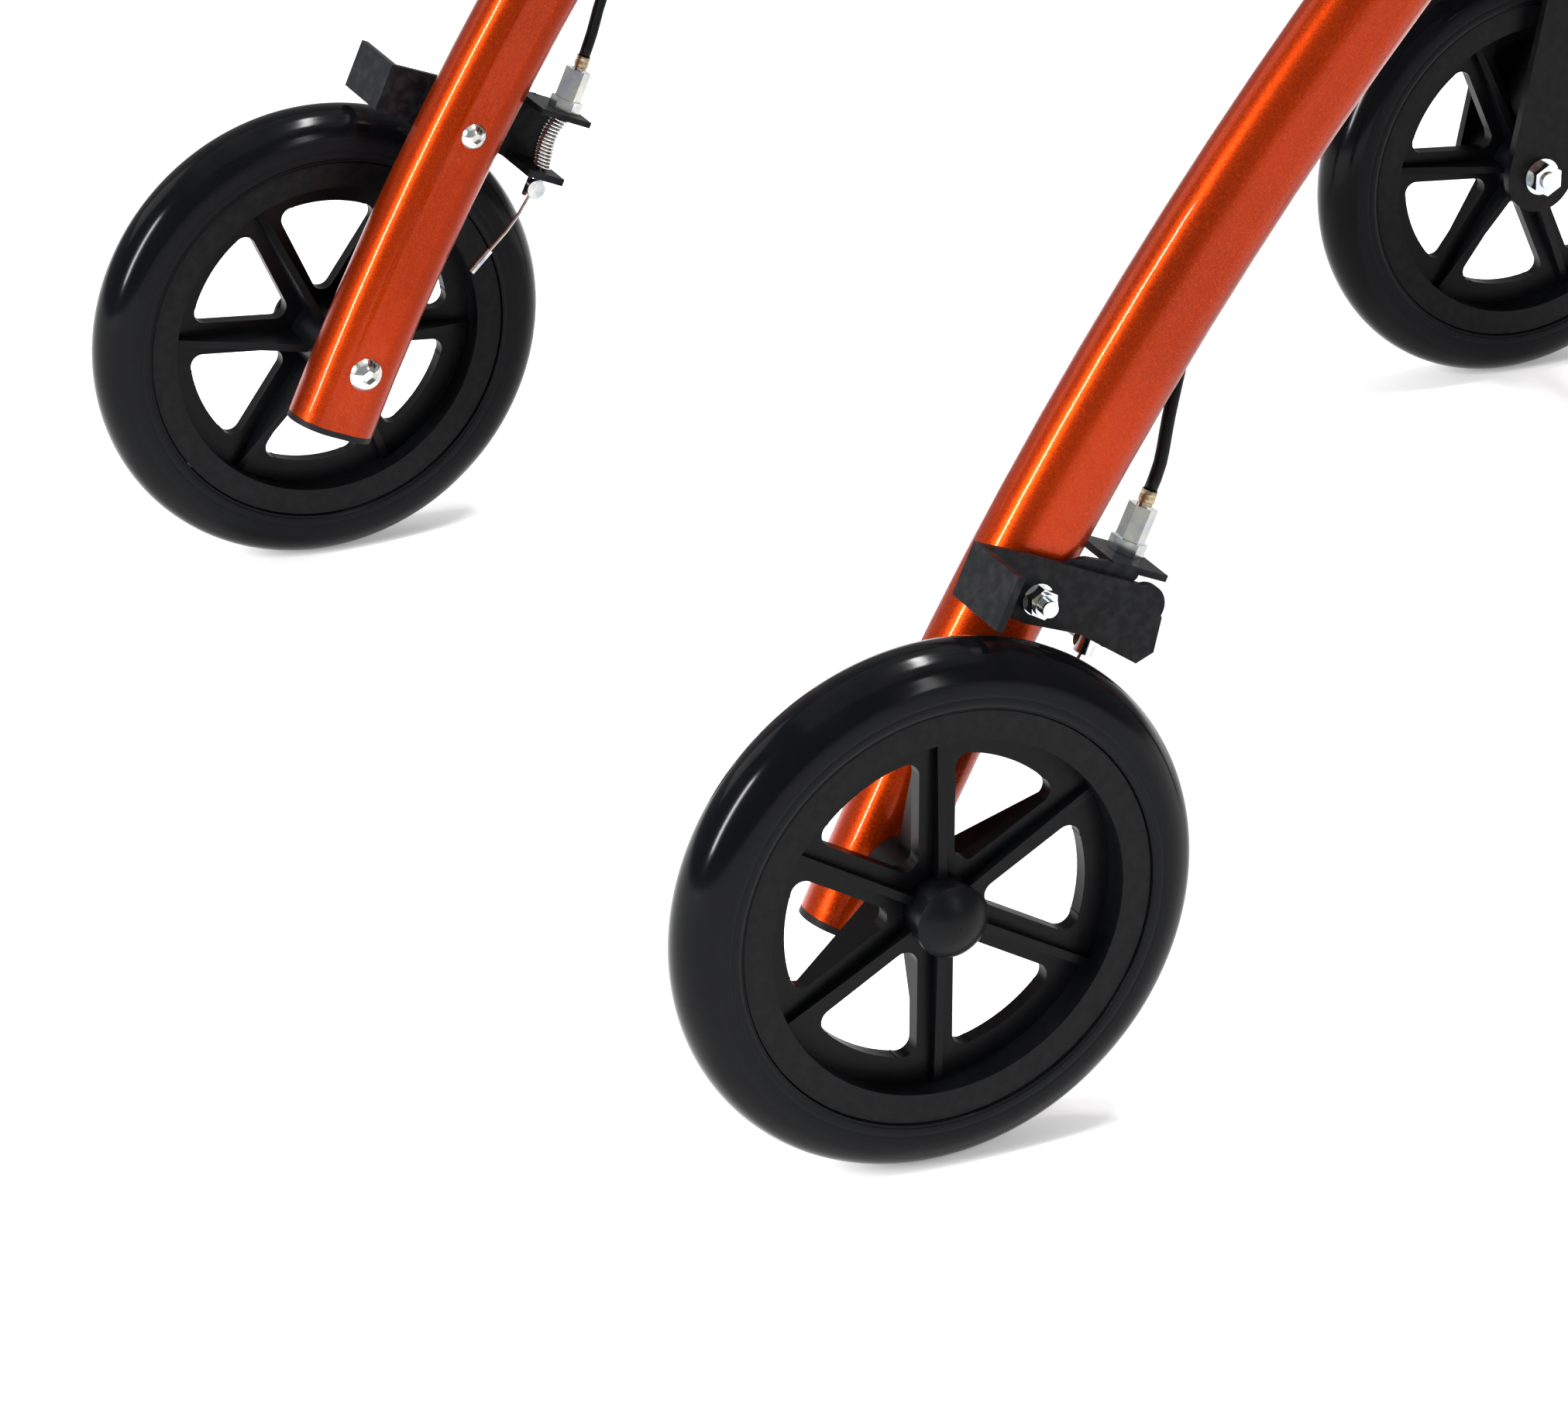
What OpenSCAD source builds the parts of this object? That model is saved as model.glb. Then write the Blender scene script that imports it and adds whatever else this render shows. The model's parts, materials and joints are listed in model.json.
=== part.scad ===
// Four-wheel walker with arched oval rear legs, cable brakes, padded seat and tote bag.
// Millimetres. +Z up, front towards -Y, the user's left side towards +X.

/* [Wheels] */
// Radius of every tyre
wheel_r = 100; // [80:1:115]
// Width of every tyre
tyre_w = 30; // [24:1:36]
// Radius of the seam between tyre and rim
rim_r = 79; // [74:0.5:79.5]
// Sideways distance of each rear wheel from the middle
rear_wheel_x = 295; // [293:1:330]
// Distance from the front axle to the rear axle
wheelbase = 566; // [540:1:680]
// Length of the rear hubs
rear_hub_l = 43; // [40:1:52]
// Angle of the first spoke of the right wheels
right_spoke_turn = 30; // [0:1:59]
// Angle of the first spoke of the left wheels
left_spoke_turn = 6; // [0:1:59]

/* [Frame] */
// Sideways distance of each side frame from the middle
frame_x = 252; // [220:1:254]
// Depth of the oval tubes, seen from the side
oval_d = 38; // [34:1:42]
// Width of the oval tubes, seen from the front
oval_w = 28; // [26:1:30]
// Wall of the oval tubes
tube_wall = 1.8; // [1.2:0.1:2.5]
// Bend radius of the rear legs
leg_bend_r = 1340; // [1250:10:1500]
// Slope of a rear leg at its axle, from the floor
leg_foot_slope = 64.8; // [63:0.1:66]
// Length of a rear leg beyond its axle
leg_tail = 27; // [24:1:34]
// Slope of the front uprights
upright_slope = 72; // [70:0.5:75]
// Height of the top of the front uprights
upright_top_z = 760; // [740:5:820]
// Radius of the tubes that join the two sides
cross_r = 11; // [9:0.5:12]

/* [Casters] */
// Sideways distance of each caster from the middle
caster_x = 256; // [250:1:258]
// Distance from the caster stem back to its axle
caster_trail = 37; // [30:1:45]
// Thickness of the fork blades
blade_t = 4; // [3:0.5:5]
// Gap between the fork blades
fork_gap = 39; // [38.5:0.5:44]

/* [Handles] */
// Radius of the handle posts
post_r = 9.5; // [8:0.5:10.5]
// Height of the start of the handle bend
bend_z = 842; // [835:1:900]
// Length of the rubber grips
grip_l = 125; // [110:1:140]
// Radius of the rubber grips
grip_r = 16; // [14:0.5:18]

/* [Seat and bag] */
// Height of the seat hinge tube
seat_z = 514; // [500:1:530]
// Width of the seat board
seat_w = 400; // [340:5:410]
// Length of the seat board
seat_l = 268; // [240:2:290]
// Thickness of the seat cushion
cushion_t = 30; // [20:1:40]
// Width of the tote bag
bag_w = 340; // [280:5:380]
// Depth of the tote bag
bag_d = 100; // [70:2:104]
// Height of the tote bag
bag_h = 200; // [160:5:220]

/* [Hidden] */
$fn = 48;

orange = [0.85, 0.27, 0.04];
black = [0.06, 0.06, 0.07];
zinc = [0.75, 0.77, 0.8];

// clearances
run = 0.05;          // radial gap of a shaft in its bore
gap = 0.3;           // gap between neighbouring faces

// axles
rear_y = wheelbase / 2;
front_y = -wheelbase / 2;
stem_y = front_y - caster_trail;
axle_r = 4;
inner_face = frame_x - oval_w / 2;
outer_face = frame_x + oval_w / 2;
hub_in = outer_face + gap;
hub_out = hub_in + rear_hub_l;
hub_r = 13;

// rear leg arc: a point at slope a is leg_c + r * [sin(a), cos(a)]
leg_c = [rear_y, wheel_r] - leg_bend_r * [sin(leg_foot_slope), cos(leg_foot_slope)];
function on_leg(a, off = 0) = leg_c + (leg_bend_r + off) * [sin(a), cos(a)];
leg_end_slope = leg_foot_slope + leg_tail / leg_bend_r * 180 / PI;

// front upright line and the fold pivot that stands off it
stem_top_z = 285;
stem_low_z = 2 * wheel_r + 24;
upright_foot = [stem_y, stem_low_z + 12];
up_dir = [cos(upright_slope), sin(upright_slope)];
up_nor = [sin(upright_slope), -cos(upright_slope)];
pivot_off = oval_d / 2 + 20;
pivot_slope = acos((pivot_off - (leg_c - upright_foot) * up_nor) / -leg_bend_r) - upright_slope;
pivot = on_leg(pivot_slope);
head_r = 15;         // round end of the tongue on top of a rear leg
head_half = 10;      // half its width
tube_end_slope = pivot_slope + (head_r + 12) / leg_bend_r * 180 / PI;
function on_upright(z) = upright_foot + (z - upright_foot[1]) / up_dir[1] * up_dir;
upright_top = on_upright(upright_top_z);
lug_t = 5;
lug_gap = 0.4;
lug_in = head_half + lug_gap;
pivot_bolt_r = 4;

// brake
brake_up = 110;      // from the axle to the brake pivot along the leg
brake_slope = leg_foot_slope - brake_up / leg_bend_r * 180 / PI;
brake_pivot = on_leg(brake_slope);
brake_bolt_r = 3;
bracket_x = outer_face + gap;
bracket_t = 2.5;
arm_x = bracket_x + bracket_t + gap;
arm_t = 3;
shoe_w = 34;
cable_x = 251;
cable_r = 2.5;
wire_r = 0.8;
tab_at = [rear_y - 96, wheel_r + 97]; // where the cable crosses the bracket tab
tab_lean = 24;       // lean of the cable at the tab, from upright
cable_down = [sin(tab_lean), -cos(tab_lean)];
tab_t = 2.5;
adjuster_l = 13;
nut_t = 5;
ferrule_l = 5;
spring_l = 24;

// handle
bend_r = 42;
grip_slope = 5;
bend_at = on_upright(bend_z);
bend_c = bend_at + bend_r * up_nor;
function grip_pt(d) = bend_c + bend_r * [-sin(grip_slope), cos(grip_slope)]
    + d * [cos(grip_slope), sin(grip_slope)];
housing_l = 34;
housing_start = 4;
grip_start = housing_start + housing_l + 1;
lever_pivot = grip_pt(housing_start + 10) - 21 * [-sin(grip_slope), cos(grip_slope)];
post_in = 170;       // length of post below the collar
collar_h = 34;

// seat
seat_hinge = on_upright(seat_z);
rail_r = 9.5;
rail_x = seat_w / 2 - 12;
rest_r = 9.5;
rest_at = on_leg(acos((seat_z - rail_r - rest_r - gap - leg_c[1]) / leg_bend_r));
board_z = seat_z + rail_r + gap;
board_t = 6;
board_y = seat_hinge[0] + cross_r + 3;
rear_cross_at = on_leg(48.5);

// bag
bag_top = seat_z - 14;
bag_back = seat_hinge[0] - cross_r - 20;
bag_wall = 2;

// routes of the two cable housings, left side
lower_route = [
    [251, 177, 219.6], [251, 173, 230], [249, 169, 246], [245, 163, 262], [240, 156, 279],
    [235, 148, 297], [232, 138, 315], [231, 125, 331], [231, 104, 356], [231, 79, 386],
    [231, 54, 415], [231, 30, 442], [231, -2, 476], [231, -43, 520], [231, -86, 566],
    [230, -110, 594], [227, -132, 617], [226, -158, 634], [226, -178, 652]
];
upper_route = [
    [226, -184, 666], [226, -192, 690], [226, -202, 720], [226, -211, 752], [226, -216, 785],
    [227, -216, 816], [229, -208, 843], [231, -194, 862], [233, -172, 872], [234, -146, 870],
    [235, -122, 861], [236, -102, 855], [236, -84, 854.9], [236, -76, 855.6]
];

// ---------- helpers ----------
module in_side_plane(x = 0) translate([x, 0, 0]) rotate([90, 0, 90]) children();
module on_side(s) { if (s < 0) mirror([1, 0, 0]) children(); else children(); }
module both() { children(); mirror([1, 0, 0]) children(); }
// stands its children on a line from p along the side-plane direction d
module stand(x, p, d) translate([x, p[0], p[1]]) rotate([atan2(-d[0], d[1]), 0, 0]) children();
module oval2d(w, d) {
    square([w, d - w], center = true);
    for (s = [-1, 1]) translate([0, s * (d - w) / 2]) circle(d = w);
}
module oval_ring(grow = 0) oval2d(oval_w + grow, oval_d + grow);
// cylinder along X
module pin_x(x, p, r, l) translate([x, p[0], p[1]]) rotate([0, 90, 0]) cylinder(r = r, h = l);
// tapered bar between two circles with straight tangent sides, exact
module link2d(a, ra, b, rb) {
    v = b - a;
    len_ab = norm(v);
    base = atan2(v[1], v[0]);
    t = acos((ra - rb) / len_ab);
    function rim_pt(c, r, g) = c + r * [cos(g), sin(g)];
    translate(a) circle(r = ra);
    translate(b) circle(r = rb);
    polygon([rim_pt(a, ra, base + t), rim_pt(b, rb, base + t),
             rim_pt(b, rb, base - t), rim_pt(a, ra, base - t)]);
}
function unit(v) = v / norm(v);
// round tube swept through a list of points
module swept(path, r, sides = 8) {
    n = len(path);
    function tangent(i) = unit(path[min(i + 1, n - 1)] - path[max(i - 1, 0)]);
    function side_dir(i) = unit(cross(tangent(i), [1, 0, 0]));
    function ring(i) = [for (k = [0:sides - 1]) let (a = 360 * k / sides)
        path[i] + r * (cos(a) * side_dir(i) + sin(a) * cross(tangent(i), side_dir(i)))];
    points = [for (i = [0:n - 1]) each ring(i)];
    walls = [for (i = [0:n - 2], k = [0:sides - 1]) let (m = (k + 1) % sides)
        [i * sides + k, (i + 1) * sides + k, (i + 1) * sides + m, i * sides + m]];
    start_cap = [for (k = [0:sides - 1]) k];
    end_cap = [for (k = [sides - 1:-1:0]) (n - 1) * sides + k];
    polyhedron(points, concat([start_cap], walls, [end_cap]));
}
module hex_x(x, p, across, t) translate([x, p[0], p[1]]) rotate([0, 90, 0])
    cylinder(d = across / cos(30), h = t, $fn = 6);

// ---------- wheels ----------
module tyre_at(x, y) {
    color(black) translate([x, y, wheel_r]) rotate([0, 90, 0]) rotate_extrude($fn = 96)
        difference() {
            union() {
                translate([wheel_r - tyre_w / 2, 0]) circle(d = tyre_w);
                translate([rim_r, -tyre_w / 2]) square([wheel_r - tyre_w / 2 - rim_r, tyre_w]);
            }
            translate([0, -tyre_w]) square([rim_r, 2 * tyre_w]);
        }
}
web_t = 6;
rim_half = tyre_w / 2 - 1;
rim_in_r = 68;
window_r = 58.5;
// the rim, its web with six windows and six ribbed spokes; hub runs from x = -a to x = b
module rim_at(x, y, turn, a, b) {
    color(black) translate([x, y, wheel_r]) rotate([90, 0, 90]) difference() {
        union() {
            rotate_extrude($fn = 96) {
                translate([rim_in_r, -rim_half]) square([rim_r - gap / 2 - rim_in_r, 2 * rim_half]);
                translate([hub_r - 1, -web_t / 2]) square([rim_in_r - hub_r + 2, web_t]);
            }
            translate([0, 0, -a]) cylinder(r = hub_r, h = a + b);
            for (k = [0:5]) rotate(turn + 60 * k) for (s = [0, 1]) mirror([0, 0, s])
                rotate([90, 0, 0]) translate([0, 0, -1.6]) linear_extrude(3.2)
                    polygon([[hub_r - 2, 0], [rim_in_r + 1, 0], [rim_in_r + 1, web_t / 2 + 3],
                             [hub_r - 2, s == 0 ? b - 4 : a - 6]]);
        }
        for (k = [0:5]) rotate(turn + 30 + 60 * k) translate([0, 0, -web_t])
            linear_extrude(2 * web_t) wheel_window();
        translate([0, 0, -a - 1]) cylinder(r = axle_r + run, h = a + b + 2);
        for (z = [-a - 1, b - bearing_l]) translate([0, 0, z]) cylinder(r = bearing_r, h = bearing_l + 1);
    }
}
bearing_r = 9;
bearing_l = 7;
// one window between two spokes: a sector with rounded corners
module wheel_window() {
    corner = 5;
    half_spoke = 7;
    out_a = 30 - asin((half_spoke + corner) / (window_r - corner));
    out = (window_r - corner) * [cos(out_a), sin(out_a)];
    tip = [(half_spoke + corner) / sin(30) - 0.01, 0];
    for (s = [-1, 1]) link2d(tip, corner, [out[0], s * out[1]], corner);
    polygon([tip, out, [window_r - 1.2, 0], [out[0], -out[1]]]);
    intersection() {
        circle(r = window_r, $fn = 96);
        polygon([[out[0], out[1]], [window_r + 8, out[1] * 0.97], [window_r + 8, -out[1] * 0.97],
                 [out[0], -out[1]]]);
    }
}
module bearing_x(x, y) {
    translate([x, y, wheel_r]) rotate([0, 90, 0]) difference() {
        cylinder(r = bearing_r - run, h = bearing_l - run);
        translate([0, 0, -1]) cylinder(r = axle_r + run, h = bearing_l + 2);
    }
}
// domed cap and two bearings of a rear hub
cap_depth = 8.5;       // height of the dome
cap_nut_h = 4.2;       // nut under the dome
cap_sphere = 18;
module hub_parts(s) on_side(s) color(black) {
    translate([hub_out + run, rear_y, wheel_r]) rotate([0, 90, 0]) rotate_extrude($fn = 64)
        intersection() {
            translate([0, cap_depth - cap_sphere]) circle(r = cap_sphere, $fn = 96);
            difference() {
                square([hub_r + 0.6, cap_depth + 1]);
                translate([-1, -1]) square([9.3, cap_nut_h + 1.8]);
            }
        }
    for (x = [hub_in, hub_out - bearing_l]) bearing_x(x, rear_y);
}

// ---------- rear frame ----------
// sweeps its 2D children along a rear leg from slope a (low end) to slope b (high end)
module leg_sweep(a, b) in_side_plane(frame_x) translate(leg_c) rotate(90 - a)
    rotate_extrude(angle = a - b, $fn = 360) translate([leg_bend_r, 0]) rotate(90) children();
module rear_leg(s) on_side(s) color(orange) difference() {
    plug_a = 1.2;
    union() {
        leg_sweep(leg_end_slope, tube_end_slope) difference() {
            oval_ring();
            oval_ring(-2 * tube_wall);
        }
        leg_sweep(tube_end_slope + plug_a, tube_end_slope - 0.1) oval_ring(-2 * tube_wall + 0.4);
        in_side_plane(frame_x - head_half) linear_extrude(2 * head_half)
            link2d(pivot, head_r, on_leg(tube_end_slope + 0.2), 12);
    }
    pin_x(inner_face - 1, pivot, pivot_bolt_r + run, oval_w + 2);
    pin_x(inner_face - 1, [rear_y, wheel_r], axle_r + run, oval_w + 2);
    pin_x(inner_face - 1, brake_pivot, brake_bolt_r + run, oval_w + 2);
}
// end plug with a thin flange that closes a leg
module leg_plugs() both() color(black) {
    flange_a = 0.11;
    leg_sweep(leg_end_slope + flange_a + 0.002, leg_end_slope + 0.002) oval_ring();
    leg_sweep(leg_end_slope + flange_a / 2, leg_end_slope - 0.6) oval_ring(-2 * tube_wall - 0.2);
}
module cross_tube(p, r, reach) color(orange) difference() {
    pin_x(-reach, p, r, 2 * reach);
    pin_x(-reach - 1, p, r - 1.5, 2 * reach + 2);
}
module rear_cross_tube() cross_tube(rear_cross_at, cross_r, inner_face);
module seat_rest_tube() cross_tube(rest_at, rest_r, inner_face);
// flat round-headed bolt along X, head at x0 pointing inboard
module bolt_x(x0, p, r, l, head_r, head_h) {
    pin_x(x0, p, r, l);
    translate([x0, p[0], p[1]]) rotate([0, -90, 0]) difference() {
        rotate_extrude() intersection() {
            translate([0, head_h - head_r * 1.15]) circle(r = head_r * 1.15);
            square([head_r, head_h]);
        }
        translate([0, 0, head_h * 0.4]) cylinder(r = head_r * 0.42, h = head_h, $fn = 6);
    }
}
module rear_axle_bolts() both() color(zinc) {
    at = [rear_y, wheel_r];
    bolt_x(inner_face, at, axle_r, hub_out + cap_nut_h - inner_face, 7.5, 4);
    difference() {
        hex_x(hub_out + 0.2, at, 13, cap_nut_h);
        pin_x(hub_out, at, axle_r - 0.01, 20);
    }
}
module brake_pivot_bolts() both() color(zinc) {
    bolt_end = arm_x + arm_t + 11;
    bolt_x(inner_face, brake_pivot, brake_bolt_r, bolt_end - inner_face, 5.6, 3.2);
    difference() {
        union() {
            pin_x(arm_x + arm_t + 0.1, brake_pivot, 6, 1.2);
            hex_x(arm_x + arm_t + 1.3, brake_pivot, 10, 5);
            pin_x(arm_x + arm_t + 6.3, brake_pivot, 4.4, 1.6);
        }
        pin_x(arm_x, brake_pivot, brake_bolt_r, 20);
    }
}
module on_tab(x = cable_x) translate([x, tab_at[0], tab_at[1]]) rotate([tab_lean, 0, 0]) children();
// side plate between leg and arm, a flange on the leg's nose and the cable tab
module brake_bracket(s) on_side(s) color(black) difference() {
    union() {
        in_side_plane(bracket_x) linear_extrude(bracket_t) difference() {
            union() {
                link2d(brake_pivot, 8, brake_pivot + [-20, 3], 7);
                link2d(brake_pivot + [-20, 3], 7, tab_at + [6, 1], 3);
                link2d(brake_pivot + [-16, -6], 5, brake_pivot + [-20, 3], 7);
            }
            translate(tab_at + [1, -12]) circle(r = 10);
        }
        on_tab(bracket_x) translate([-26, -9, -tab_t / 2]) cube([26 + bracket_t, 24, tab_t]);
    }
    pin_x(bracket_x - 1, brake_pivot, brake_bolt_r + run, bracket_t + 2);
    on_tab() translate([0, 0, -tab_t]) cylinder(r = 3 + run, h = 2 * tab_t);
    leg_sweep(leg_foot_slope, brake_slope - 6) oval_ring(2 * gap);
}
// hollow hex barrel with its lock nut, thread and the cable's brass ferrule
module cable_adjusters() both() color(zinc) on_tab() difference() {
    union() {
        translate([0, 0, -tab_t / 2 - 5]) cylinder(r = 2.4, h = 10);
        translate([0, 0, -tab_t / 2]) cylinder(r = 3, h = tab_t + nut_t);
        translate([0, 0, tab_t / 2 + 0.1]) cylinder(d = 12 / cos(30), h = nut_t, $fn = 6);
        translate([0, 0, tab_t / 2 + 0.1 + nut_t]) cylinder(d = 9.6 / cos(30), h = adjuster_l, $fn = 6);
        translate([0, 0, tab_t / 2 + 0.1 + nut_t + adjuster_l]) cylinder(r = 2.6, h = ferrule_l);
    }
    translate([0, 0, -10]) cylinder(r = wire_r + 0.5, h = 50);
}
// point down the bare wire, measured from the tab
function wire_pt(d) = tab_at + d * cable_down;
// return spring, a stack of rings joined into one sleeve
module brake_spring(s) on_side(s) color(zinc) on_tab() translate([0, 0, -tab_t / 2 - 0.3 - spring_l])
    rotate_extrude() difference() {
        union() {
            translate([3.2, 0]) square([0.4, spring_l]);
            for (k = [0:11]) translate([3.4, 1 + 2 * k]) circle(r = 0.8, $fn = 16);
        }
        translate([-1, -1]) square([1, spring_l + 2]);
    }
module lower_cable(s) on_side(s) color(black) swept(lower_route, cable_r);

// ---------- brake arm ----------
flange_at = wire_pt(tab_t / 2 + 0.3 + spring_l + 0.3 + arm_t / 2);
shoe_top = brake_pivot + [20.5, 24];
shoe_low = brake_pivot + [28.8, 5.2];
module brake_arm(s) on_side(s) color(black) difference() {
    union() {
        in_side_plane(arm_x) linear_extrude(arm_t) {
            polygon([shoe_top, shoe_low, brake_pivot + [4, -9], brake_pivot + [-17, -17],
                     brake_pivot + [-40, -33], brake_pivot + [-47, -30], brake_pivot + [-50, -17],
                     brake_pivot + [-42, -3], brake_pivot + [3, 17]]);
            translate(brake_pivot + [-42.5, -11.5]) circle(r = 8.5);
        }
        // shoe, bent outwards at the rear end of the arm
        in_side_plane(arm_x) linear_extrude(shoe_w) {
            v = unit(shoe_low - shoe_top);
            t = [v[1], -v[0]] * arm_t;
            polygon([shoe_top, shoe_low, shoe_low - t, shoe_top - t]);
        }
        // spring seat, bent inwards at the lower front edge
        translate([0, flange_at[0], flange_at[1]]) rotate([tab_lean, 0, 0])
            translate([cable_x - 7, -9, -arm_t / 2]) cube([arm_x + arm_t - cable_x + 7, 17, arm_t]);
    }
    pin_x(arm_x - 1, brake_pivot, brake_bolt_r + run, arm_t + 2);
    translate([cable_x, flange_at[0], flange_at[1]]) rotate([tab_lean, 0, 0])
        cylinder(r = 2, h = 20, center = true);
}
clamp_at = flange_at + 6.2 * cable_down;
// pinch block under the spring seat, the bare wire and its crimped end
module cable_clamp(s) on_side(s) color(zinc) {
    translate([cable_x, clamp_at[0], clamp_at[1]]) rotate([tab_lean, 0, 0]) {
        difference() {
            union() {
                translate([0, 0, -4.6]) cylinder(r = 3.6, h = 9);
                translate([-5.6, 1, 0]) rotate([0, 90, 0]) cylinder(r = 4, h = 4);
            }
            translate([0, 0, -8]) cylinder(r = wire_r, h = 20);
        }
        translate([0, 0, -4.6]) cylinder(r = wire_r, h = 27);
    }
    tail = [for (d = [4.6, 12, 20, 28]) let (q = clamp_at + d * cable_down + [0.012 * d * d, 0])
        [cable_x, q[0], q[1]]];
    swept(tail, wire_r);
    last = tail[3];
    translate(last) rotate([tab_lean + 22, 0, 0]) translate([0, 0, -11.5]) cylinder(r = 1.6, h = 12);
}

// ---------- casters ----------
stem_r = 6;
crown_z = 2 * wheel_r + 8;
module caster_fork(s) on_side(s) color(black) difference() {
    blade_low = [front_y, wheel_r];
    blade_top = [stem_y + 8, crown_z + 2];
    union() {
        for (x = [caster_x - fork_gap / 2 - blade_t, caster_x + fork_gap / 2])
            in_side_plane(x) linear_extrude(blade_t) link2d(blade_low, 17, blade_top, 25);
        in_side_plane(caster_x - fork_gap / 2 - blade_t) linear_extrude(fork_gap + 2 * blade_t)
            intersection() {
                link2d(blade_low, 17, blade_top, 25);
                translate([stem_y - 60, crown_z - 2]) square([120, 30]);
            }
        translate([caster_x, stem_y, crown_z]) cylinder(r = stem_r, h = stem_top_z - crown_z - 8);
    }
    translate([0, 0, stem_low_z - 3]) difference() {
        translate([caster_x - 60, stem_y - 60, 0]) cube([120, 150, 90]);
        translate([caster_x, stem_y, -1]) cylinder(r = stem_r, h = 100);
        translate([caster_x, stem_y, -1]) cylinder(r = 13, h = 3.5);
    }
    pin_x(caster_x - 50, [front_y, wheel_r], axle_r + run, 100);
}
module front_axle(s) on_side(s) color(zinc) {
    x0 = caster_x - fork_gap / 2 - blade_t;
    x1 = caster_x + fork_gap / 2 + blade_t;
    pin_x(x0 - 8, [front_y, wheel_r], axle_r, x1 - x0 + 8);
    difference() {
        union() {
            hex_x(x0 - 6.6, [front_y, wheel_r], 13, 5.5);
            pin_x(x0 - 1.1, [front_y, wheel_r], 8.5, 1);
        }
        pin_x(x0 - 10, [front_y, wheel_r], axle_r - 0.01, 12);
    }
    translate([x1 + 0.1, front_y, wheel_r]) mirror([1, 0, 0]) bolt_x(0, [0, 0], axle_r - 0.02, 0.2, 7.5, 4);
}
front_hub = fork_gap / 2 - 0.5;
module front_rim(s, turn) {
    rim_at(s * caster_x, front_y, turn, front_hub, front_hub);
    for (x = [-front_hub, front_hub - bearing_l + run]) color(black) bearing_x(s * caster_x + x, front_y);
}

// ---------- front frame ----------
module front_upright(s) on_side(s) color(orange) difference() {
    length_up = norm(upright_top - upright_foot);
    union() {
        difference() {
            union() {
                stand(frame_x, upright_foot, up_dir) linear_extrude(length_up) oval_ring();
                // clevis for the rear leg
                for (x = [frame_x - lug_in - lug_t, frame_x + lug_in]) in_side_plane(x)
                    linear_extrude(lug_t)
                        link2d(pivot, 14, pivot - (pivot_off - 4) * up_nor, 17);
                stand(frame_x, pivot - pivot_off * up_nor - 25 * up_dir, up_dir)
                    translate([-lug_in - lug_t, 0, 8]) cube([2 * lug_in + 2 * lug_t, oval_d / 2 + 3, 34]);
            }
            stand(frame_x, upright_foot - up_dir, up_dir)
                linear_extrude(length_up + 2) oval_ring(-2 * tube_wall);
        }
        translate([caster_x, stem_y, stem_low_z]) cylinder(r = 17, h = stem_top_z - stem_low_z);
    }
    translate([caster_x, stem_y, stem_low_z - 1])
        cylinder(r = stem_r + run, h = stem_top_z - stem_low_z - 3);
    translate([frame_x - 60, stem_y - 60, stem_low_z - 60]) cube([120, 150, 60]);
    pin_x(frame_x - 30, pivot, pivot_bolt_r + run, 60);
    stand(frame_x, on_upright(upright_top_z - collar_screw), up_nor)
        cylinder(r = 5, h = oval_d);
}
lower_cross_z = 268;
collar_screw = -14;  // height of the knob screw above the upright's top
module lower_cross_tube() cross_tube(on_upright(lower_cross_z), cross_r, inner_face);
module upper_cross_tube() cross_tube(seat_hinge, cross_r, inner_face);
module fold_pivot_bolts() both() color(zinc) {
    x0 = frame_x - lug_in - lug_t;
    x1 = frame_x + lug_in + lug_t;
    bolt_x(x0 - 0.1, pivot, pivot_bolt_r, x1 - x0 + 8, 7.5, 4);
    difference() {
        hex_x(x1 + 0.1, pivot, 13, 6.5);
        pin_x(x1, pivot, pivot_bolt_r - 0.01, 20);
    }
}
// plastic collar that closes an upright and guides the handle post
module upright_collars() both() color(black) stand(frame_x, upright_top, up_dir) difference() {
    union() {
        translate([0, 0, 0.1]) linear_extrude(collar_h) oval_ring(4);
        translate([0, 0, -30]) linear_extrude(30.2) oval_ring(-2 * tube_wall - 0.2);
        translate([0, 0, -collar_screw]) rotate([-90, 0, 0]) cylinder(r = 9, h = oval_d / 2 + 8);
    }
    translate([0, 0, -31]) cylinder(r = post_r + run, h = collar_h + 40);
    translate([0, 0, -collar_screw]) rotate([-90, 0, 0]) cylinder(r = 4 + run, h = oval_d);
}
knob_at = oval_d / 2 + 8 + gap;
module height_knob(s) on_side(s) color(black)
    stand(frame_x, upright_top - collar_screw * up_dir, up_dir) rotate([-90, 0, 0]) {
        translate([0, 0, post_r + gap]) cylinder(r = 4, h = knob_at);
        translate([0, 0, knob_at]) difference() {
            cylinder(r = 17, h = 13);
            for (k = [0:5]) rotate(60 * k) translate([19.5, 0, -1]) cylinder(r = 5.5, h = 20);
        }
    }
// webbing strap with its pad, bowed forward between the uprights
strap_z = 732;
strap_h = 62;
strap_y = on_upright(strap_z)[0] - oval_d / 2 - 8;
strap_bow = 90;
strap_half = inner_face - 12;
strap_r = (strap_half * strap_half + strap_bow * strap_bow) / (2 * strap_bow);
module backrest_strap() color(black) difference() {
    translate([0, strap_y - strap_bow + strap_r, strap_z - strap_h / 2])
        cylinder(r = strap_r, h = strap_h, $fn = 180);
    translate([0, strap_y - strap_bow + strap_r, strap_z - strap_h])
        cylinder(r = strap_r - 14, h = 2 * strap_h, $fn = 180);
    translate([-500, strap_y, strap_z - strap_h]) cube([1000, 1000, 2 * strap_h]);
}
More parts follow.
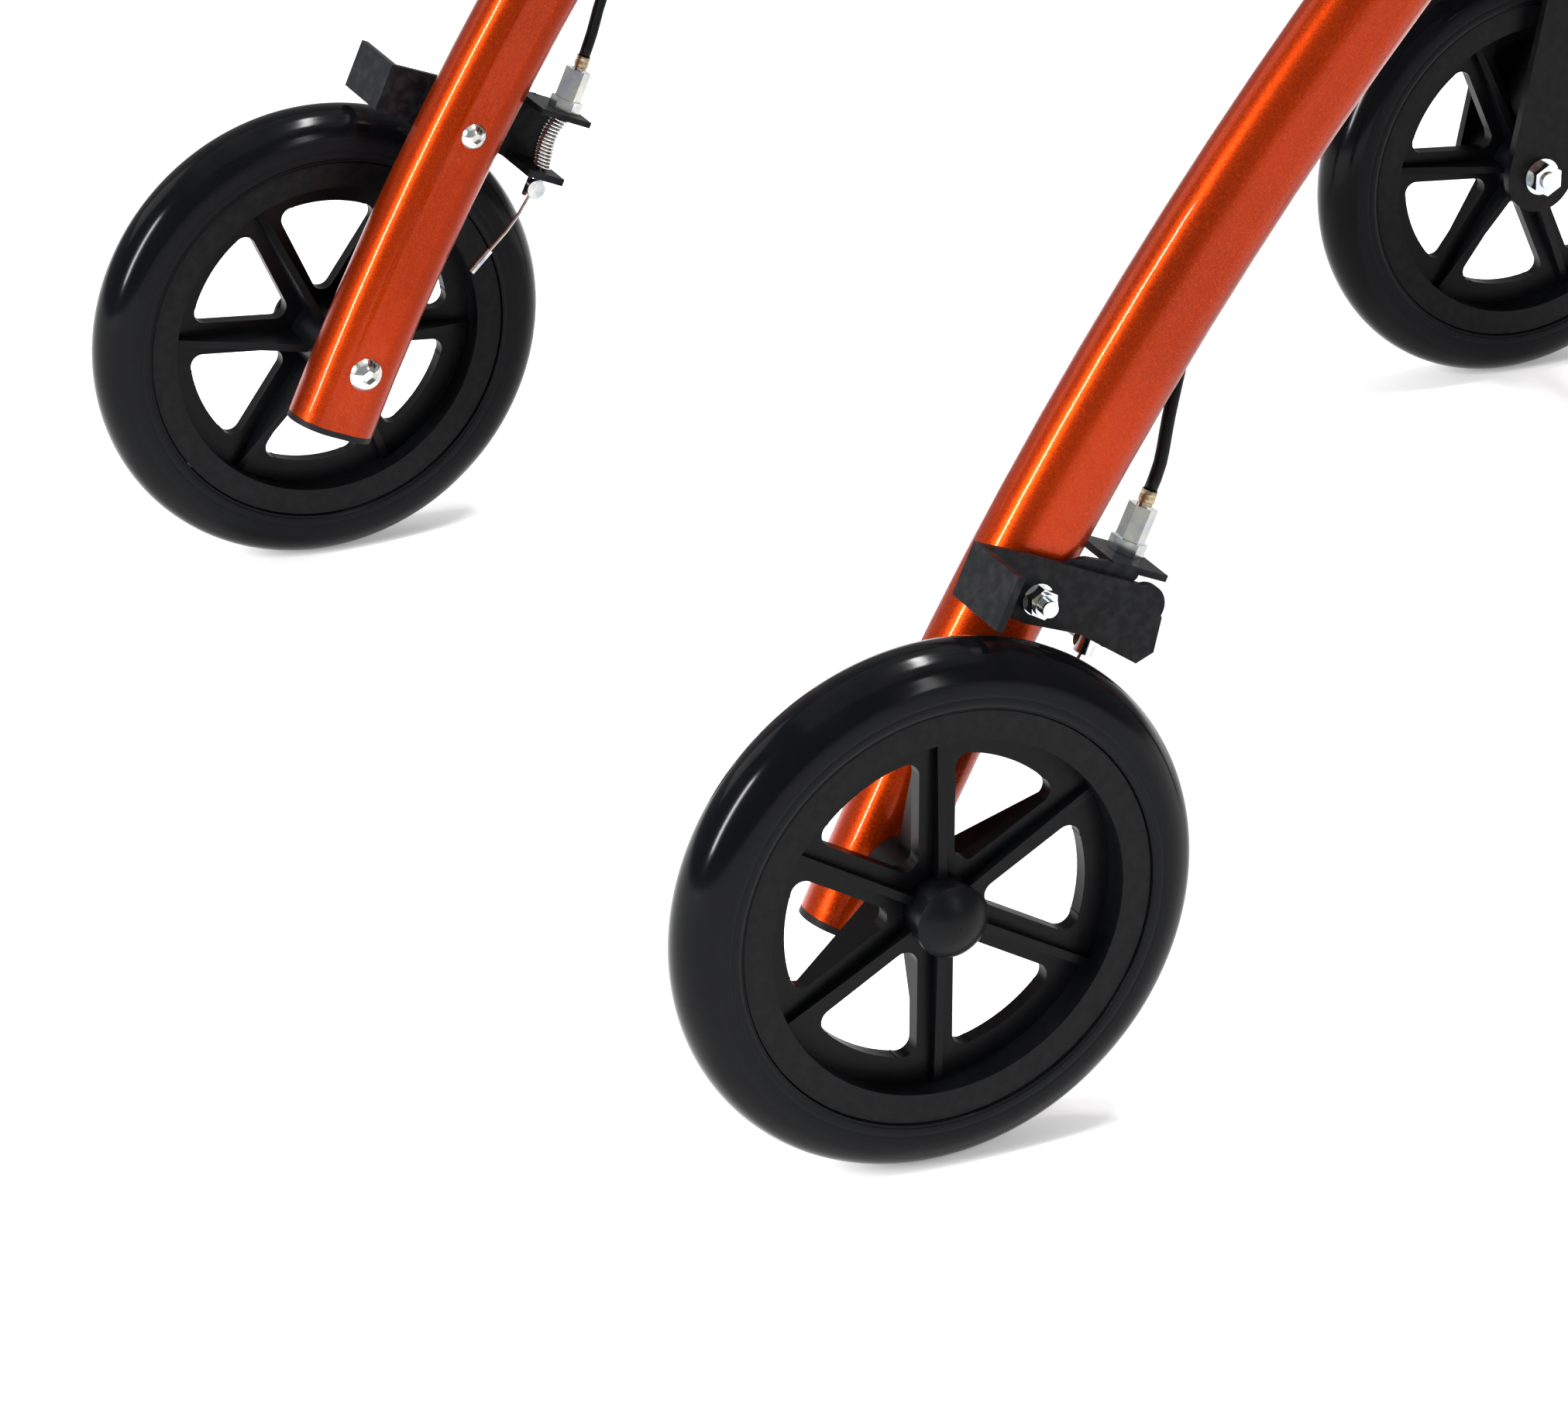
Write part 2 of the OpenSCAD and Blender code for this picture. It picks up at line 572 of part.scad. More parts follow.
// plates that hold the strap's ends to the uprights
module backrest_brackets() both() color(black) difference() {
    translate([strap_half - 22, strap_y + gap, strap_z - 20])
        cube([inner_face - strap_half + 22 - gap, 30, 40]);
    stand(frame_x, upright_foot, up_dir) linear_extrude(800) oval_ring(2 * gap);
    translate([strap_half - 23, strap_y + 5, strap_z - 30]) cube([18, 40, 60]);
}
// ring around each upright-side end of a cable
module cable_clips() both() color(black) {
    clip_at = [-181, 659];
    clip_x = 226;
    clip_l = 16;
    translate([clip_x, clip_at[0], clip_at[1]]) rotate([23, 0, 0]) difference() {
        translate([-5, -6, -clip_l / 2]) cube([inner_face - gap - clip_x + 5, 12, clip_l]);
        translate([0, 0, -clip_l]) cylinder(r = cable_r + 0.4, h = 2 * clip_l);
    }
}
module upper_cable(s) on_side(s) color(black) swept(upper_route, cable_r);

// ---------- handles ----------
ring_l = 3;          // swaged ring over each end of the bend
module handle_post(s) on_side(s) color(zinc) {
    low = upright_top - post_in * up_dir;
    grip_dir = grip_pt(1) - grip_pt(0);
    stand(frame_x, low, up_dir) cylinder(r = post_r, h = norm(bend_at - low) - 0.5);
    stand(frame_x, bend_at - ring_l / 2 * up_dir, up_dir) cylinder(r = post_r + 0.4, h = ring_l);
    in_side_plane(frame_x) translate(bend_c) rotate(90 + grip_slope)
        rotate_extrude(angle = upright_slope - grip_slope, $fn = 96)
            translate([bend_r, 0]) circle(r = post_r);
    stand(frame_x, grip_pt(-ring_l / 2), grip_dir) cylinder(r = post_r + 0.4, h = ring_l);
    stand(frame_x, grip_pt(0.5), grip_dir) cylinder(r = post_r, h = grip_start + grip_l - 6.5);
}
module grip(s) on_side(s) color(black)
    stand(frame_x, grip_pt(grip_start), grip_pt(1) - grip_pt(0)) difference() {
        rotate_extrude() union() {
            translate([0, 3]) square([grip_r, grip_l - 9]);
            square([grip_r + 3, 6]);
            intersection() {
                translate([0, grip_l - 22]) circle(r = 22);
                square([grip_r, grip_l]);
            }
            for (k = [0:7]) translate([grip_r - 0.4, 22 + 11 * k]) circle(r = 2);
        }
        translate([0, 0, -1]) cylinder(r = post_r + run, h = grip_l - 4);
    }
port_x = frame_x - 16;   // cable port of the lever housing
module lever_housing(s) on_side(s) color(black) difference() {
    union() {
        stand(frame_x, grip_pt(housing_start), grip_pt(1) - grip_pt(0)) cylinder(r = 15, h = housing_l);
        in_side_plane(frame_x - 12) linear_extrude(24)
            link2d(lever_pivot, 9, grip_pt(housing_start + 14) + [0, -6], 11);
        stand(port_x, lever_pivot + [-10, 4], grip_pt(1) - grip_pt(0)) cylinder(r = 5, h = 18);
    }
    stand(frame_x, grip_pt(0), grip_pt(1) - grip_pt(0)) cylinder(r = post_r + run, h = 80);
    in_side_plane(frame_x - 6.4) linear_extrude(12.8) {
        translate(lever_pivot) circle(r = 9.8);
        translate(lever_pivot + [0, -30]) square([60, 40.2]);
        translate(lever_pivot + [-20, -30]) square([60, 30]);
    }
    pin_x(frame_x - 20, lever_pivot, 2.5 + run, 40);
    stand(port_x, lever_pivot + [-11, 4], grip_pt(1) - grip_pt(0)) cylinder(r = cable_r + 0.3, h = 8);
}
lever_l = 118;
// loop lever that is squeezed up towards the grip, with its pivot pin
module brake_lever(s) on_side(s) color(black) {
    root = lever_pivot + [24, -18];
    drop = lever_pivot + [lever_l, -36];
    difference() {
        union() {
            in_side_plane(frame_x - 6) linear_extrude(12) link2d(lever_pivot, 9, root, 9);
            in_side_plane(frame_x - 6) linear_extrude(12)
                link2d(root, 10, drop, 14);
        }
        in_side_plane(frame_x - 10) linear_extrude(20)
            link2d(root + [9, -2], 4, drop + [-2, 0], 8);
    }
    pin_x(frame_x - 11.8, lever_pivot, 2.5, 23.6);
}

// ---------- seat ----------
rail_end = rest_at[0] + 46;
rail_bar_r = 11;
module seat_rail() color(zinc) {
    for (s = [-1, 1]) translate([s * rail_x, seat_hinge[0] + cross_r + 2, seat_z])
        rotate([-90, 0, 0]) cylinder(r = rail_r, h = rail_end - seat_hinge[0] - cross_r - 2);
    pin_x(-rail_x - 14, [rail_end, seat_z + rail_r - rail_bar_r], rail_bar_r, 2 * rail_x + 28);
}
// split clamps that turn on the upper cross tube and carry the rail
module seat_hinge_clamps() color(black) for (s = [-1, 1]) difference() {
    union() {
        pin_x(s * rail_x - 15, seat_hinge, cross_r + 4, 30);
        translate([s * rail_x, seat_hinge[0] + cross_r, seat_z]) rotate([-90, 0, 0])
            cylinder(r = rail_r + 3.5, h = 26);
    }
    pin_x(s * rail_x - 16, seat_hinge, cross_r + run, 32);
    translate([s * rail_x, seat_hinge[0] + cross_r + 1.9, seat_z]) rotate([-90, 0, 0])
        cylinder(r = rail_r + run, h = 40);
    translate([s * rail_x - 20, board_y - 2, board_z - gap]) cube([40, 60, 20]);
}
module round_plate(w, l, t, r) linear_extrude(t) {
    translate([-w / 2 + r, 0]) square([w - 2 * r, l]);
    translate([-w / 2, r]) square([w, l - 2 * r]);
    for (x = [-w / 2 + r, w / 2 - r], y = [r, l - r]) translate([x, y]) circle(r = r);
}
module seat_board() color(black) translate([0, board_y, board_z]) round_plate(seat_w, seat_l, board_t, 30);
module seat_cushion() color(black) translate([0, board_y, board_z + board_t + gap])
    round_plate(seat_w - 6, seat_l - 2, cushion_t, 30);

// ---------- bag ----------
module tote_bag() color(black) translate([0, bag_back - bag_d, bag_top - bag_h]) difference() {
    round_plate(bag_w, bag_d, bag_h, 24);
    translate([0, bag_wall, bag_wall]) round_plate(bag_w - 2 * bag_wall, bag_d - 2 * bag_wall, bag_h, 22);
}
// hooks that hang the bag on the upper cross tube
module bag_hooks() both() color(black) difference() {
    union() {
        pin_x(95, seat_hinge, cross_r + 3, 24);
        translate([95, bag_back - 0.1 + gap, bag_top - 30]) cube([24, 4, 44]);
        translate([95, bag_back + gap, seat_z - 4]) cube([24, 20 + 4, 8]);
    }
    pin_x(90, seat_hinge, cross_r + 0.1, 40);
}

front_upright(-1);  // right_front_upright
front_upright(1);  // left_front_upright
lower_cross_tube();
upper_cross_tube();
upright_collars();
fold_pivot_bolts();
backrest_strap();
backrest_brackets();
tote_bag();
bag_hooks();
upper_cable(-1);  // right_upper_cable
upper_cable(1);  // left_upper_cable
cable_clips();
height_knob(-1);  // right_height_knob
height_knob(1);  // left_height_knob
handle_post(-1);  // right_handle_post
handle_post(1);  // left_handle_post
grip(-1);  // right_grip
grip(1);  // left_grip
lever_housing(-1);  // right_lever_housing
lever_housing(1);  // left_lever_housing
brake_lever(-1);  // right_brake_lever
brake_lever(1);  // left_brake_lever
seat_rail();
seat_board();
seat_cushion();
seat_hinge_clamps();
rear_leg(-1);  // right_rear_leg
rear_leg(1);  // left_rear_leg
rear_cross_tube();
seat_rest_tube();
leg_plugs();
brake_bracket(-1);  // right_brake_bracket
brake_bracket(1);  // left_brake_bracket
brake_spring(-1);  // right_brake_spring
brake_spring(1);  // left_brake_spring
cable_adjusters();
lower_cable(-1);  // right_lower_cable
lower_cable(1);  // left_lower_cable
rear_axle_bolts();
brake_pivot_bolts();
brake_arm(-1);  // right_brake_arm
brake_arm(1);  // left_brake_arm
cable_clamp(-1);  // right_cable_clamp
cable_clamp(1);  // left_cable_clamp
caster_fork(-1);  // right_caster_fork
caster_fork(1);  // left_caster_fork
front_axle(-1);  // right_front_axle
front_axle(1);  // left_front_axle
front_rim(-1, right_spoke_turn);  // right_front_rim
front_rim(1, left_spoke_turn);  // left_front_rim
tyre_at(-caster_x, front_y);  // right_front_tyre
tyre_at(caster_x, front_y);  // left_front_tyre
rim_at(-rear_wheel_x, rear_y, right_spoke_turn, hub_out - rear_wheel_x, rear_wheel_x - hub_in);  // right_rear_rim
rim_at(rear_wheel_x, rear_y, left_spoke_turn, rear_wheel_x - hub_in, hub_out - rear_wheel_x);  // left_rear_rim
tyre_at(-rear_wheel_x, rear_y);  // right_rear_tyre
tyre_at(rear_wheel_x, rear_y);  // left_rear_tyre
hub_parts(-1);  // right_hub_parts
hub_parts(1);  // left_hub_parts
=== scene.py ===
"""Looks of a four-wheel walker: finishes for its hard parts, and its soft parts, cables and springs."""
import json
import math

import bpy
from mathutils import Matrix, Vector, noise


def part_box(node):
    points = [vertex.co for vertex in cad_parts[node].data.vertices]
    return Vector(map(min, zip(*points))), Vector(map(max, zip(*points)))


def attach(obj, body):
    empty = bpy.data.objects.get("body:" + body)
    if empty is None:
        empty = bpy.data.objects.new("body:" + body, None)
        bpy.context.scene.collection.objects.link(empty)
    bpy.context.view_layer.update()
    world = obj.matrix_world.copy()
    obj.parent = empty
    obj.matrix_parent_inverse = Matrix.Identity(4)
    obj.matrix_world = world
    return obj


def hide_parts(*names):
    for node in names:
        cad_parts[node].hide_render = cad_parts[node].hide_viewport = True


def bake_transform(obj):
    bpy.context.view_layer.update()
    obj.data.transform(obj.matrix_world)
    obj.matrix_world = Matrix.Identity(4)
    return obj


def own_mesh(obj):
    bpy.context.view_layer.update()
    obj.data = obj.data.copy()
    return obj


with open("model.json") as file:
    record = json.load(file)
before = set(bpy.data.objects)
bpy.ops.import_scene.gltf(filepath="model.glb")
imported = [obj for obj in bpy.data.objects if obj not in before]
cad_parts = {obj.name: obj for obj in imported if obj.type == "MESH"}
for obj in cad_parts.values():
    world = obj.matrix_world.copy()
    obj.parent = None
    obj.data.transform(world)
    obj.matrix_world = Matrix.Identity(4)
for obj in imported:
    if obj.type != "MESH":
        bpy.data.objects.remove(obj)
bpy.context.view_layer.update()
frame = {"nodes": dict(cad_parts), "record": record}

bl_info = {
    "name": "Four-Wheel Walker Looks",
    "version": (1, 0, 0),
    "blender": (4, 5, 0),
    "location": "View3D > Sidebar > Walker",
    "description": "Gives the walker its paint, plastics, rubber, fabrics, cables and springs",
    "category": "Object",
}

MM = 0.001
ACROSS = Vector((1, 0, 0))
SIDES = (("right", -1), ("left", 1))    # a side's name and the sign of its x


# ---------- sizes read from the frame ----------

def middle(node):
    """The centre of a CAD node's box."""
    low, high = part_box(node)
    return (Vector(low) + Vector(high)) / 2


def size(node):
    """The size of a CAD node's box."""
    low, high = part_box(node)
    return Vector(high) - Vector(low)


# ---------- settings that a user would change ----------

class WalkerSettings(bpy.types.PropertyGroup):
    """Colours and sizes of the walker's looks."""
    paint: bpy.props.FloatVectorProperty(
        name="Paint", description="Colour of the lacquered tubes", subtype="COLOR", size=3,
        min=0, max=1, default=(0.30, 0.0215, 0.0005))
    cloth: bpy.props.FloatVectorProperty(
        name="Cloth", description="Colour of the bag and the backrest", subtype="COLOR", size=3,
        min=0, max=1, default=(0.012, 0.012, 0.014))
    vinyl: bpy.props.FloatVectorProperty(
        name="Vinyl", description="Colour of the seat cover", subtype="COLOR", size=3,
        min=0, max=1, default=(0.014, 0.014, 0.016))
    jacket_radius: bpy.props.FloatProperty(
        name="Cable radius", description="Radius of the cable housings", unit="LENGTH",
        min=0.002, max=0.003, default=0.0025)
    spring_wire: bpy.props.FloatProperty(
        name="Spring wire", description="Radius of the return springs' wire", unit="LENGTH",
        min=0.0003, max=0.0008, default=0.00055)
    bag_sag: bpy.props.FloatProperty(
        name="Bag sag", description="How far the bag's panels bulge and sag", unit="LENGTH",
        min=0.0, max=0.012, default=0.008)


def settings():
    """The walker's settings in the open scene."""
    return bpy.context.scene.walker_looks


# ---------- mesh helpers ----------

def new_mesh(name, verts, faces, material, smooth=True):
    """A linked mesh object with one material."""
    mesh = bpy.data.meshes.new(name)
    mesh.from_pydata([tuple(v) for v in verts], [], faces)
    mesh.validate()
    mesh.update()
    piece = bpy.data.objects.new(name, mesh)
    bpy.context.scene.collection.objects.link(piece)
    piece.data.materials.append(material)
    if smooth:
        mesh.shade_smooth()
    return piece


def curve_through(points, step):
    """Points a step apart on a smooth curve through the given ones."""
    pts = [Vector(p) for p in points]
    pts = [2 * pts[0] - pts[1]] + pts + [2 * pts[-1] - pts[-2]]
    out = []
    for a, b, c, d in zip(pts, pts[1:], pts[2:], pts[3:]):
        count = max(1, round((c - b).length / step))
        for k in range(count):
            t = k / count
            out.append(0.5 * (2 * b + (c - a) * t + (2 * a - 5 * b + 4 * c - d) * t ** 2
                              + (3 * b - a - 3 * c + d) * t ** 3))
    return out + [pts[-2]]


def loop_data(rings, closed_across=True, closed_along=False):
    """Quads between rings of equal length; each ring is a closed loop unless told otherwise."""
    count, sides = len(rings), len(rings[0])
    verts = [v for ring in rings for v in ring]
    faces = []
    for i in range(count if closed_along else count - 1):
        n = (i + 1) % count
        for k in range(sides if closed_across else sides - 1):
            m = (k + 1) % sides
            faces.append((i * sides + k, i * sides + m, n * sides + m, n * sides + k))
    return verts, faces


def end_caps(count, sides, flipped=False):
    """The two faces that close a run of rings with this many points in all."""
    near, far = range(sides), range(count - sides, count)
    if flipped:
        return [tuple(near), tuple(reversed(far))]
    return [tuple(reversed(near)), tuple(far)]


def circle(centre, radius, across, up, sides):
    """Points round a circle, from across towards up."""
    turns = [2 * math.pi * k / sides for k in range(sides)]
    return [centre + radius * (math.cos(turn) * across + math.sin(turn) * up) for turn in turns]


def tube_data(path, radius, sides=16):
    """Vertices and faces of a round tube, closed at both ends, along a path."""
    last = len(path) - 1
    rings = []
    across = (path[1] - path[0]).normalized().orthogonal().normalized()
    for i, point in enumerate(path):
        tangent = (path[min(i + 1, last)] - path[max(i - 1, 0)]).normalized()
        across = (across - tangent * across.dot(tangent)).normalized()
        rings.append(circle(point, radius, across, tangent.cross(across), sides))
    verts, faces = loop_data(rings)
    return verts, faces + end_caps(len(verts), sides)


def tube(name, path, radius, material, sides=16):
    """A round tube along a path, as an object."""
    verts, faces = tube_data(path, radius, sides)
    return new_mesh(name, verts, faces, material)


def turned_x(name, profile, centre, material):
    """A ring turned round an X axis through centre, from a closed outline of (radius, x) pairs."""
    steps = 192
    rings = []
    for i in range(steps):
        turn = 2 * math.pi * i / steps
        rings.append([centre + Vector((x, r * math.cos(turn), r * math.sin(turn))) for r, x in profile])
    verts, faces = loop_data(rings, closed_along=True)
    return new_mesh(name, verts, faces, material)


def soften_edges(piece, width):
    """A small bevel on a piece's sharp edges."""
    bevel = piece.modifiers.new("softened edges", "BEVEL")
    bevel.width = width
    bevel.segments = 2
    bevel.limit_method = "ANGLE"
    bevel.angle_limit = math.radians(35)


def apply_modifiers(piece):
    """Bakes every modifier of a piece into its mesh."""
    depsgraph = bpy.context.evaluated_depsgraph_get()
    mesh = bpy.data.meshes.new_from_object(piece.evaluated_get(depsgraph))
    piece.modifiers.clear()
    old = piece.data
    piece.data = mesh
    bpy.data.meshes.remove(old)


def inflate(piece, voxel, pressure, cap):
    """Swells a closed mesh with cloth and air pressure, no point moving further than the cap."""
    frames = 20
    bpy.context.view_layer.objects.active = piece
    remesh = piece.modifiers.new("even mesh", "REMESH")
    remesh.mode = "VOXEL"
    remesh.voxel_size = voxel
    apply_modifiers(piece)
    start = [v.co.copy() for v in piece.data.vertices]
    cloth = piece.modifiers.new("cover", "CLOTH")
    cloth.settings.quality = 6
    cloth.settings.mass = 0.3
    cloth.settings.tension_stiffness = 20
    cloth.settings.compression_stiffness = 20
    cloth.settings.bending_stiffness = 2
    cloth.settings.use_pressure = True
    cloth.settings.uniform_pressure_force = pressure
    cloth.settings.effector_weights.gravity = 0
    cloth.collision_settings.use_collision = False
    cloth.point_cache.frame_start = 1
    cloth.point_cache.frame_end = frames
    for number in range(1, frames + 1):
        bpy.context.scene.frame_set(number)
    apply_modifiers(piece)
    for vertex, was in zip(piece.data.vertices, start):
        move = vertex.co - was
        if move.length > cap:
            vertex.co = was + move * (cap / move.length)
    bpy.context.scene.frame_set(1)
    piece.data.shade_smooth()


# ---------- shader helpers ----------

def group_sockets(tree, inputs, outputs):
    """Adds named inputs (name, kind, default) and outputs (name, kind) to a node group."""
    for name, kind, default in inputs:
        tree.interface.new_socket(name=name, in_out="INPUT", socket_type=kind).default_value = default
    for name, kind in outputs:
        tree.interface.new_socket(name=name, in_out="OUTPUT", socket_type=kind)
    return tree.nodes.new("NodeGroupInput"), tree.nodes.new("NodeGroupOutput")


def math_node(tree, operation, *values):
    """One step of arithmetic on sockets or plain numbers."""
    node = tree.nodes.new("ShaderNodeMath")
    node.operation = operation
    for socket, value in zip(node.inputs, values):
        if isinstance(value, (int, float)):
            socket.default_value = value
        else:
            tree.links.new(value, socket)
    return node.outputs[0]


def coordinates(tree, kind="Object"):
    """The object's own coordinates, or its normals."""
    return tree.nodes.new("ShaderNodeTexCoord").outputs[kind]


def split_xyz(tree, vector):
    """The three outputs of a vector, by axis."""
    node = tree.nodes.new("ShaderNodeSeparateXYZ")
    tree.links.new(vector, node.inputs[0])
    return node.outputs


def ramp(tree, value, low, high):
    """A value taken from low..high to 0..1, clamped."""
    node = tree.nodes.new("ShaderNodeMapRange")
    node.inputs["From Min"].default_value = low
    node.inputs["From Max"].default_value = high
    tree.links.new(value, node.inputs["Value"])
    return node.outputs["Result"]


def noise_value(tree, scale, detail=3.0):
    """Noise over the object, at a scale given as a socket or a number."""
    node = tree.nodes.new("ShaderNodeTexNoise")
    node.inputs["Detail"].default_value = detail
    if isinstance(scale, (int, float)):
        node.inputs["Scale"].default_value = scale
    else:
        tree.links.new(scale, node.inputs["Scale"])
    tree.links.new(coordinates(tree), node.inputs["Vector"])
    return node.outputs["Fac"]


def mix_colour(tree, factor, a, b):
    """Colour a mixed into colour b by a factor, each a socket or a plain value."""
    node = tree.nodes.new("ShaderNodeMix")
    node.data_type = "RGBA"
    for index, value in ((0, factor), (6, a), (7, b)):
        if isinstance(value, (int, float)):
            node.inputs[index].default_value = value
        elif isinstance(value, tuple):
            node.inputs[index].default_value = (*value, 1)
        else:
            tree.links.new(value, node.inputs[index])
    return node.outputs[2]


def edge_wear_group():
    """A mask of rubbed edges: high where the surface is sharply convex, broken up by noise."""
    tree = bpy.data.node_groups.new("edge wear", "ShaderNodeTree")
    start, end = group_sockets(
        tree, [("Amount", "NodeSocketFloat", 0.5), ("Breakup", "NodeSocketFloat", 220.0)],
        [("Mask", "NodeSocketFloat")])
    pointiness = tree.nodes.new("ShaderNodeNewGeometry").outputs["Pointiness"]
    convex = ramp(tree, pointiness, 0.515, 0.60)
    broken = ramp(tree, noise_value(tree, start.outputs["Breakup"]), 0.42, 0.62)
    rubbed = math_node(tree, "MULTIPLY", convex, broken)
    tree.links.new(math_node(tree, "MULTIPLY", rubbed, start.outputs["Amount"]), end.inputs["Mask"])
    return tree


def grain_group():
    """Two sizes of noise: a fine one as a height, and a slow mottling for colour and roughness."""
    tree = bpy.data.node_groups.new("moulded grain", "ShaderNodeTree")
    start, end = group_sockets(
        tree, [("Fine", "NodeSocketFloat", 2500.0), ("Coarse", "NodeSocketFloat", 40.0)],
        [("Height", "NodeSocketFloat"), ("Mottle", "NodeSocketFloat")])
    tree.links.new(noise_value(tree, start.outputs["Fine"], 2.0), end.inputs["Height"])
    tree.links.new(noise_value(tree, start.outputs["Coarse"], 4.0), end.inputs["Mottle"])
    return tree


def dust_group():
    """A light film that gathers on faces that look up, in patches."""
    tree = bpy.data.node_groups.new("settled dust", "ShaderNodeTree")
    start, end = group_sockets(tree, [("Amount", "NodeSocketFloat", 0.3)], [("Mask", "NodeSocketFloat")])
    upward = ramp(tree, split_xyz(tree, coordinates(tree, "Normal"))["Z"], 0.2, 1.0)
    patches = ramp(tree, noise_value(tree, 60.0, 5.0), 0.4, 0.75)
    film = math_node(tree, "MULTIPLY", upward, patches)
    tree.links.new(math_node(tree, "MULTIPLY", film, start.outputs["Amount"]), end.inputs["Mask"])
    return tree


def weave_group():
    """Height and thread mask of a plain weave, with its threads along the object's height and width."""
    tree = bpy.data.node_groups.new("plain weave", "ShaderNodeTree")
    start, end = group_sockets(
        tree, [("Threads", "NodeSocketFloat", 5000.0)],
        [("Height", "NodeSocketFloat"), ("Thread", "NodeSocketFloat")])
    axes = split_xyz(tree, coordinates(tree))
    flat = math_node(tree, "ADD", axes["X"], axes["Y"])
    waves = []
    for value in (flat, axes["Z"]):
        scaled = math_node(tree, "MULTIPLY", value, start.outputs["Threads"])
        waves.append(math_node(tree, "SINE", scaled))
    woven = math_node(tree, "MULTIPLY", *waves)
    tree.links.new(math_node(tree, "ABSOLUTE", woven), end.inputs["Height"])
    tree.links.new(ramp(tree, woven, -0.6, 0.6), end.inputs["Thread"])
    return tree


GROUP_MAKERS = {"edge wear": edge_wear_group, "moulded grain": grain_group,
                "settled dust": dust_group, "plain weave": weave_group}


def use_group(material, name, **values):
    """Places a shared group in a material with its own values."""
    tree = material.node_tree
    node = tree.nodes.new("ShaderNodeGroup")
    node.node_tree = bpy.data.node_groups.get(name) or GROUP_MAKERS[name]()
    for key, value in values.items():
        node.inputs[key].default_value = value
    return node.outputs


def new_material(name, roughness, metallic=0.0, coat=0.0, coat_roughness=0.05, specular=0.5, sheen=0.0):
    """A material with its plain values set; gives the material, its tree and its shader."""
    material = bpy.data.materials.new(name)
    material.use_nodes = True
    shader = material.node_tree.nodes["Principled BSDF"]
    shader.inputs["Roughness"].default_value = roughness
    shader.inputs["Metallic"].default_value = metallic
    shader.inputs["Coat Weight"].default_value = coat
    shader.inputs["Coat Roughness"].default_value = coat_roughness
    shader.inputs["Specular IOR Level"].default_value = specular
    shader.inputs["Sheen Weight"].default_value = sheen
    return material, material.node_tree, shader


def bump_into(tree, shader, height, strength, distance):
    """Feeds a height to the shader's normal."""
    node = tree.nodes.new("ShaderNodeBump")
    node.inputs["Strength"].default_value = strength
    node.inputs["Distance"].default_value = distance
    tree.links.new(height, node.inputs["Height"])
    tree.links.new(node.outputs["Normal"], shader.inputs["Normal"])


def shaded(colour, factor):
    """A colour times a factor, which may be above 1."""
    return tuple(c * factor for c in colour)


# ---------- finishes ----------

def lacquer():
    """Metallic orange lacquer: fine bright flake under a clear coat."""
    material, tree, shader = new_material("orange lacquer", roughness=0.34, metallic=0.78, coat=0.16,
                                          coat_roughness=0.03, specular=0.06)
    paint = tuple(settings().paint)
    flake = tree.nodes.new("ShaderNodeTexVoronoi")
    flake.inputs["Scale"].default_value = 2600
    tree.links.new(coordinates(tree), flake.inputs["Vector"])
    flake_values = tree.nodes.new("ShaderNodeSeparateColor")
    tree.links.new(flake.outputs["Color"], flake_values.inputs[0])
    shine, spread, tilt = flake_values.outputs
    drift = ramp(tree, noise_value(tree, 14.0, 3.0), 0.3, 0.7)
    base = mix_colour(tree, drift, shaded(paint, 0.72), paint)
    lifted = (min(1, paint[0] * 1.3), paint[1] * 1.9, paint[2] * 4)
    bright = math_node(tree, "MULTIPLY", ramp(tree, shine, 0.6, 1.0), 0.6)
    flaked = mix_colour(tree, bright, base, lifted)
    wear = use_group(material, "edge wear", Amount=0.02)
    tree.links.new(mix_colour(tree, wear["Mask"], flaked, (0.75, 0.25, 0.12)), shader.inputs["Base Color"])
    tree.links.new(math_node(tree, "MULTIPLY_ADD", spread, 0.16, 0.26), shader.inputs["Roughness"])
    bump_into(tree, shader, tilt, 0.05, 0.0001)
    return material


def zinc_plate():
    """Bright zinc plate with a faint blue-yellow cast and fine scratches."""
    material, tree, shader = new_material("bright zinc", roughness=0.25, metallic=1.0)
    cast = ramp(tree, noise_value(tree, 120.0, 2.0), 0.35, 0.65)
    clean = mix_colour(tree, cast, (0.42, 0.45, 0.50), (0.58, 0.57, 0.50))
    wear = use_group(material, "edge wear", Amount=0.6)
    tree.links.new(mix_colour(tree, wear["Mask"], clean, (0.9, 0.9, 0.9)), shader.inputs["Base Color"])
    grain = use_group(material, "moulded grain", Fine=1800.0, Coarse=300.0)
    rough = math_node(tree, "MULTIPLY_ADD", grain["Mottle"], 0.15, 0.08)
    tree.links.new(rough, shader.inputs["Roughness"])
    bump_into(tree, shader, grain["Height"], 0.04, 0.0001)
    return material


def satin_metal():
    """Satin anodised post metal, drawn along its length."""
    material, tree, shader = new_material("satin post metal", roughness=0.35, metallic=1.0)
    grain = use_group(material, "moulded grain", Fine=900.0, Coarse=25.0)
    tone = mix_colour(tree, grain["Mottle"], (0.55, 0.56, 0.57), (0.72, 0.72, 0.73))
    tree.links.new(tone, shader.inputs["Base Color"])
    rough = math_node(tree, "MULTIPLY_ADD", grain["Height"], 0.18, 0.26)
    tree.links.new(rough, shader.inputs["Roughness"])
    bump_into(tree, shader, grain["Height"], 0.08, 0.0001)
    return material


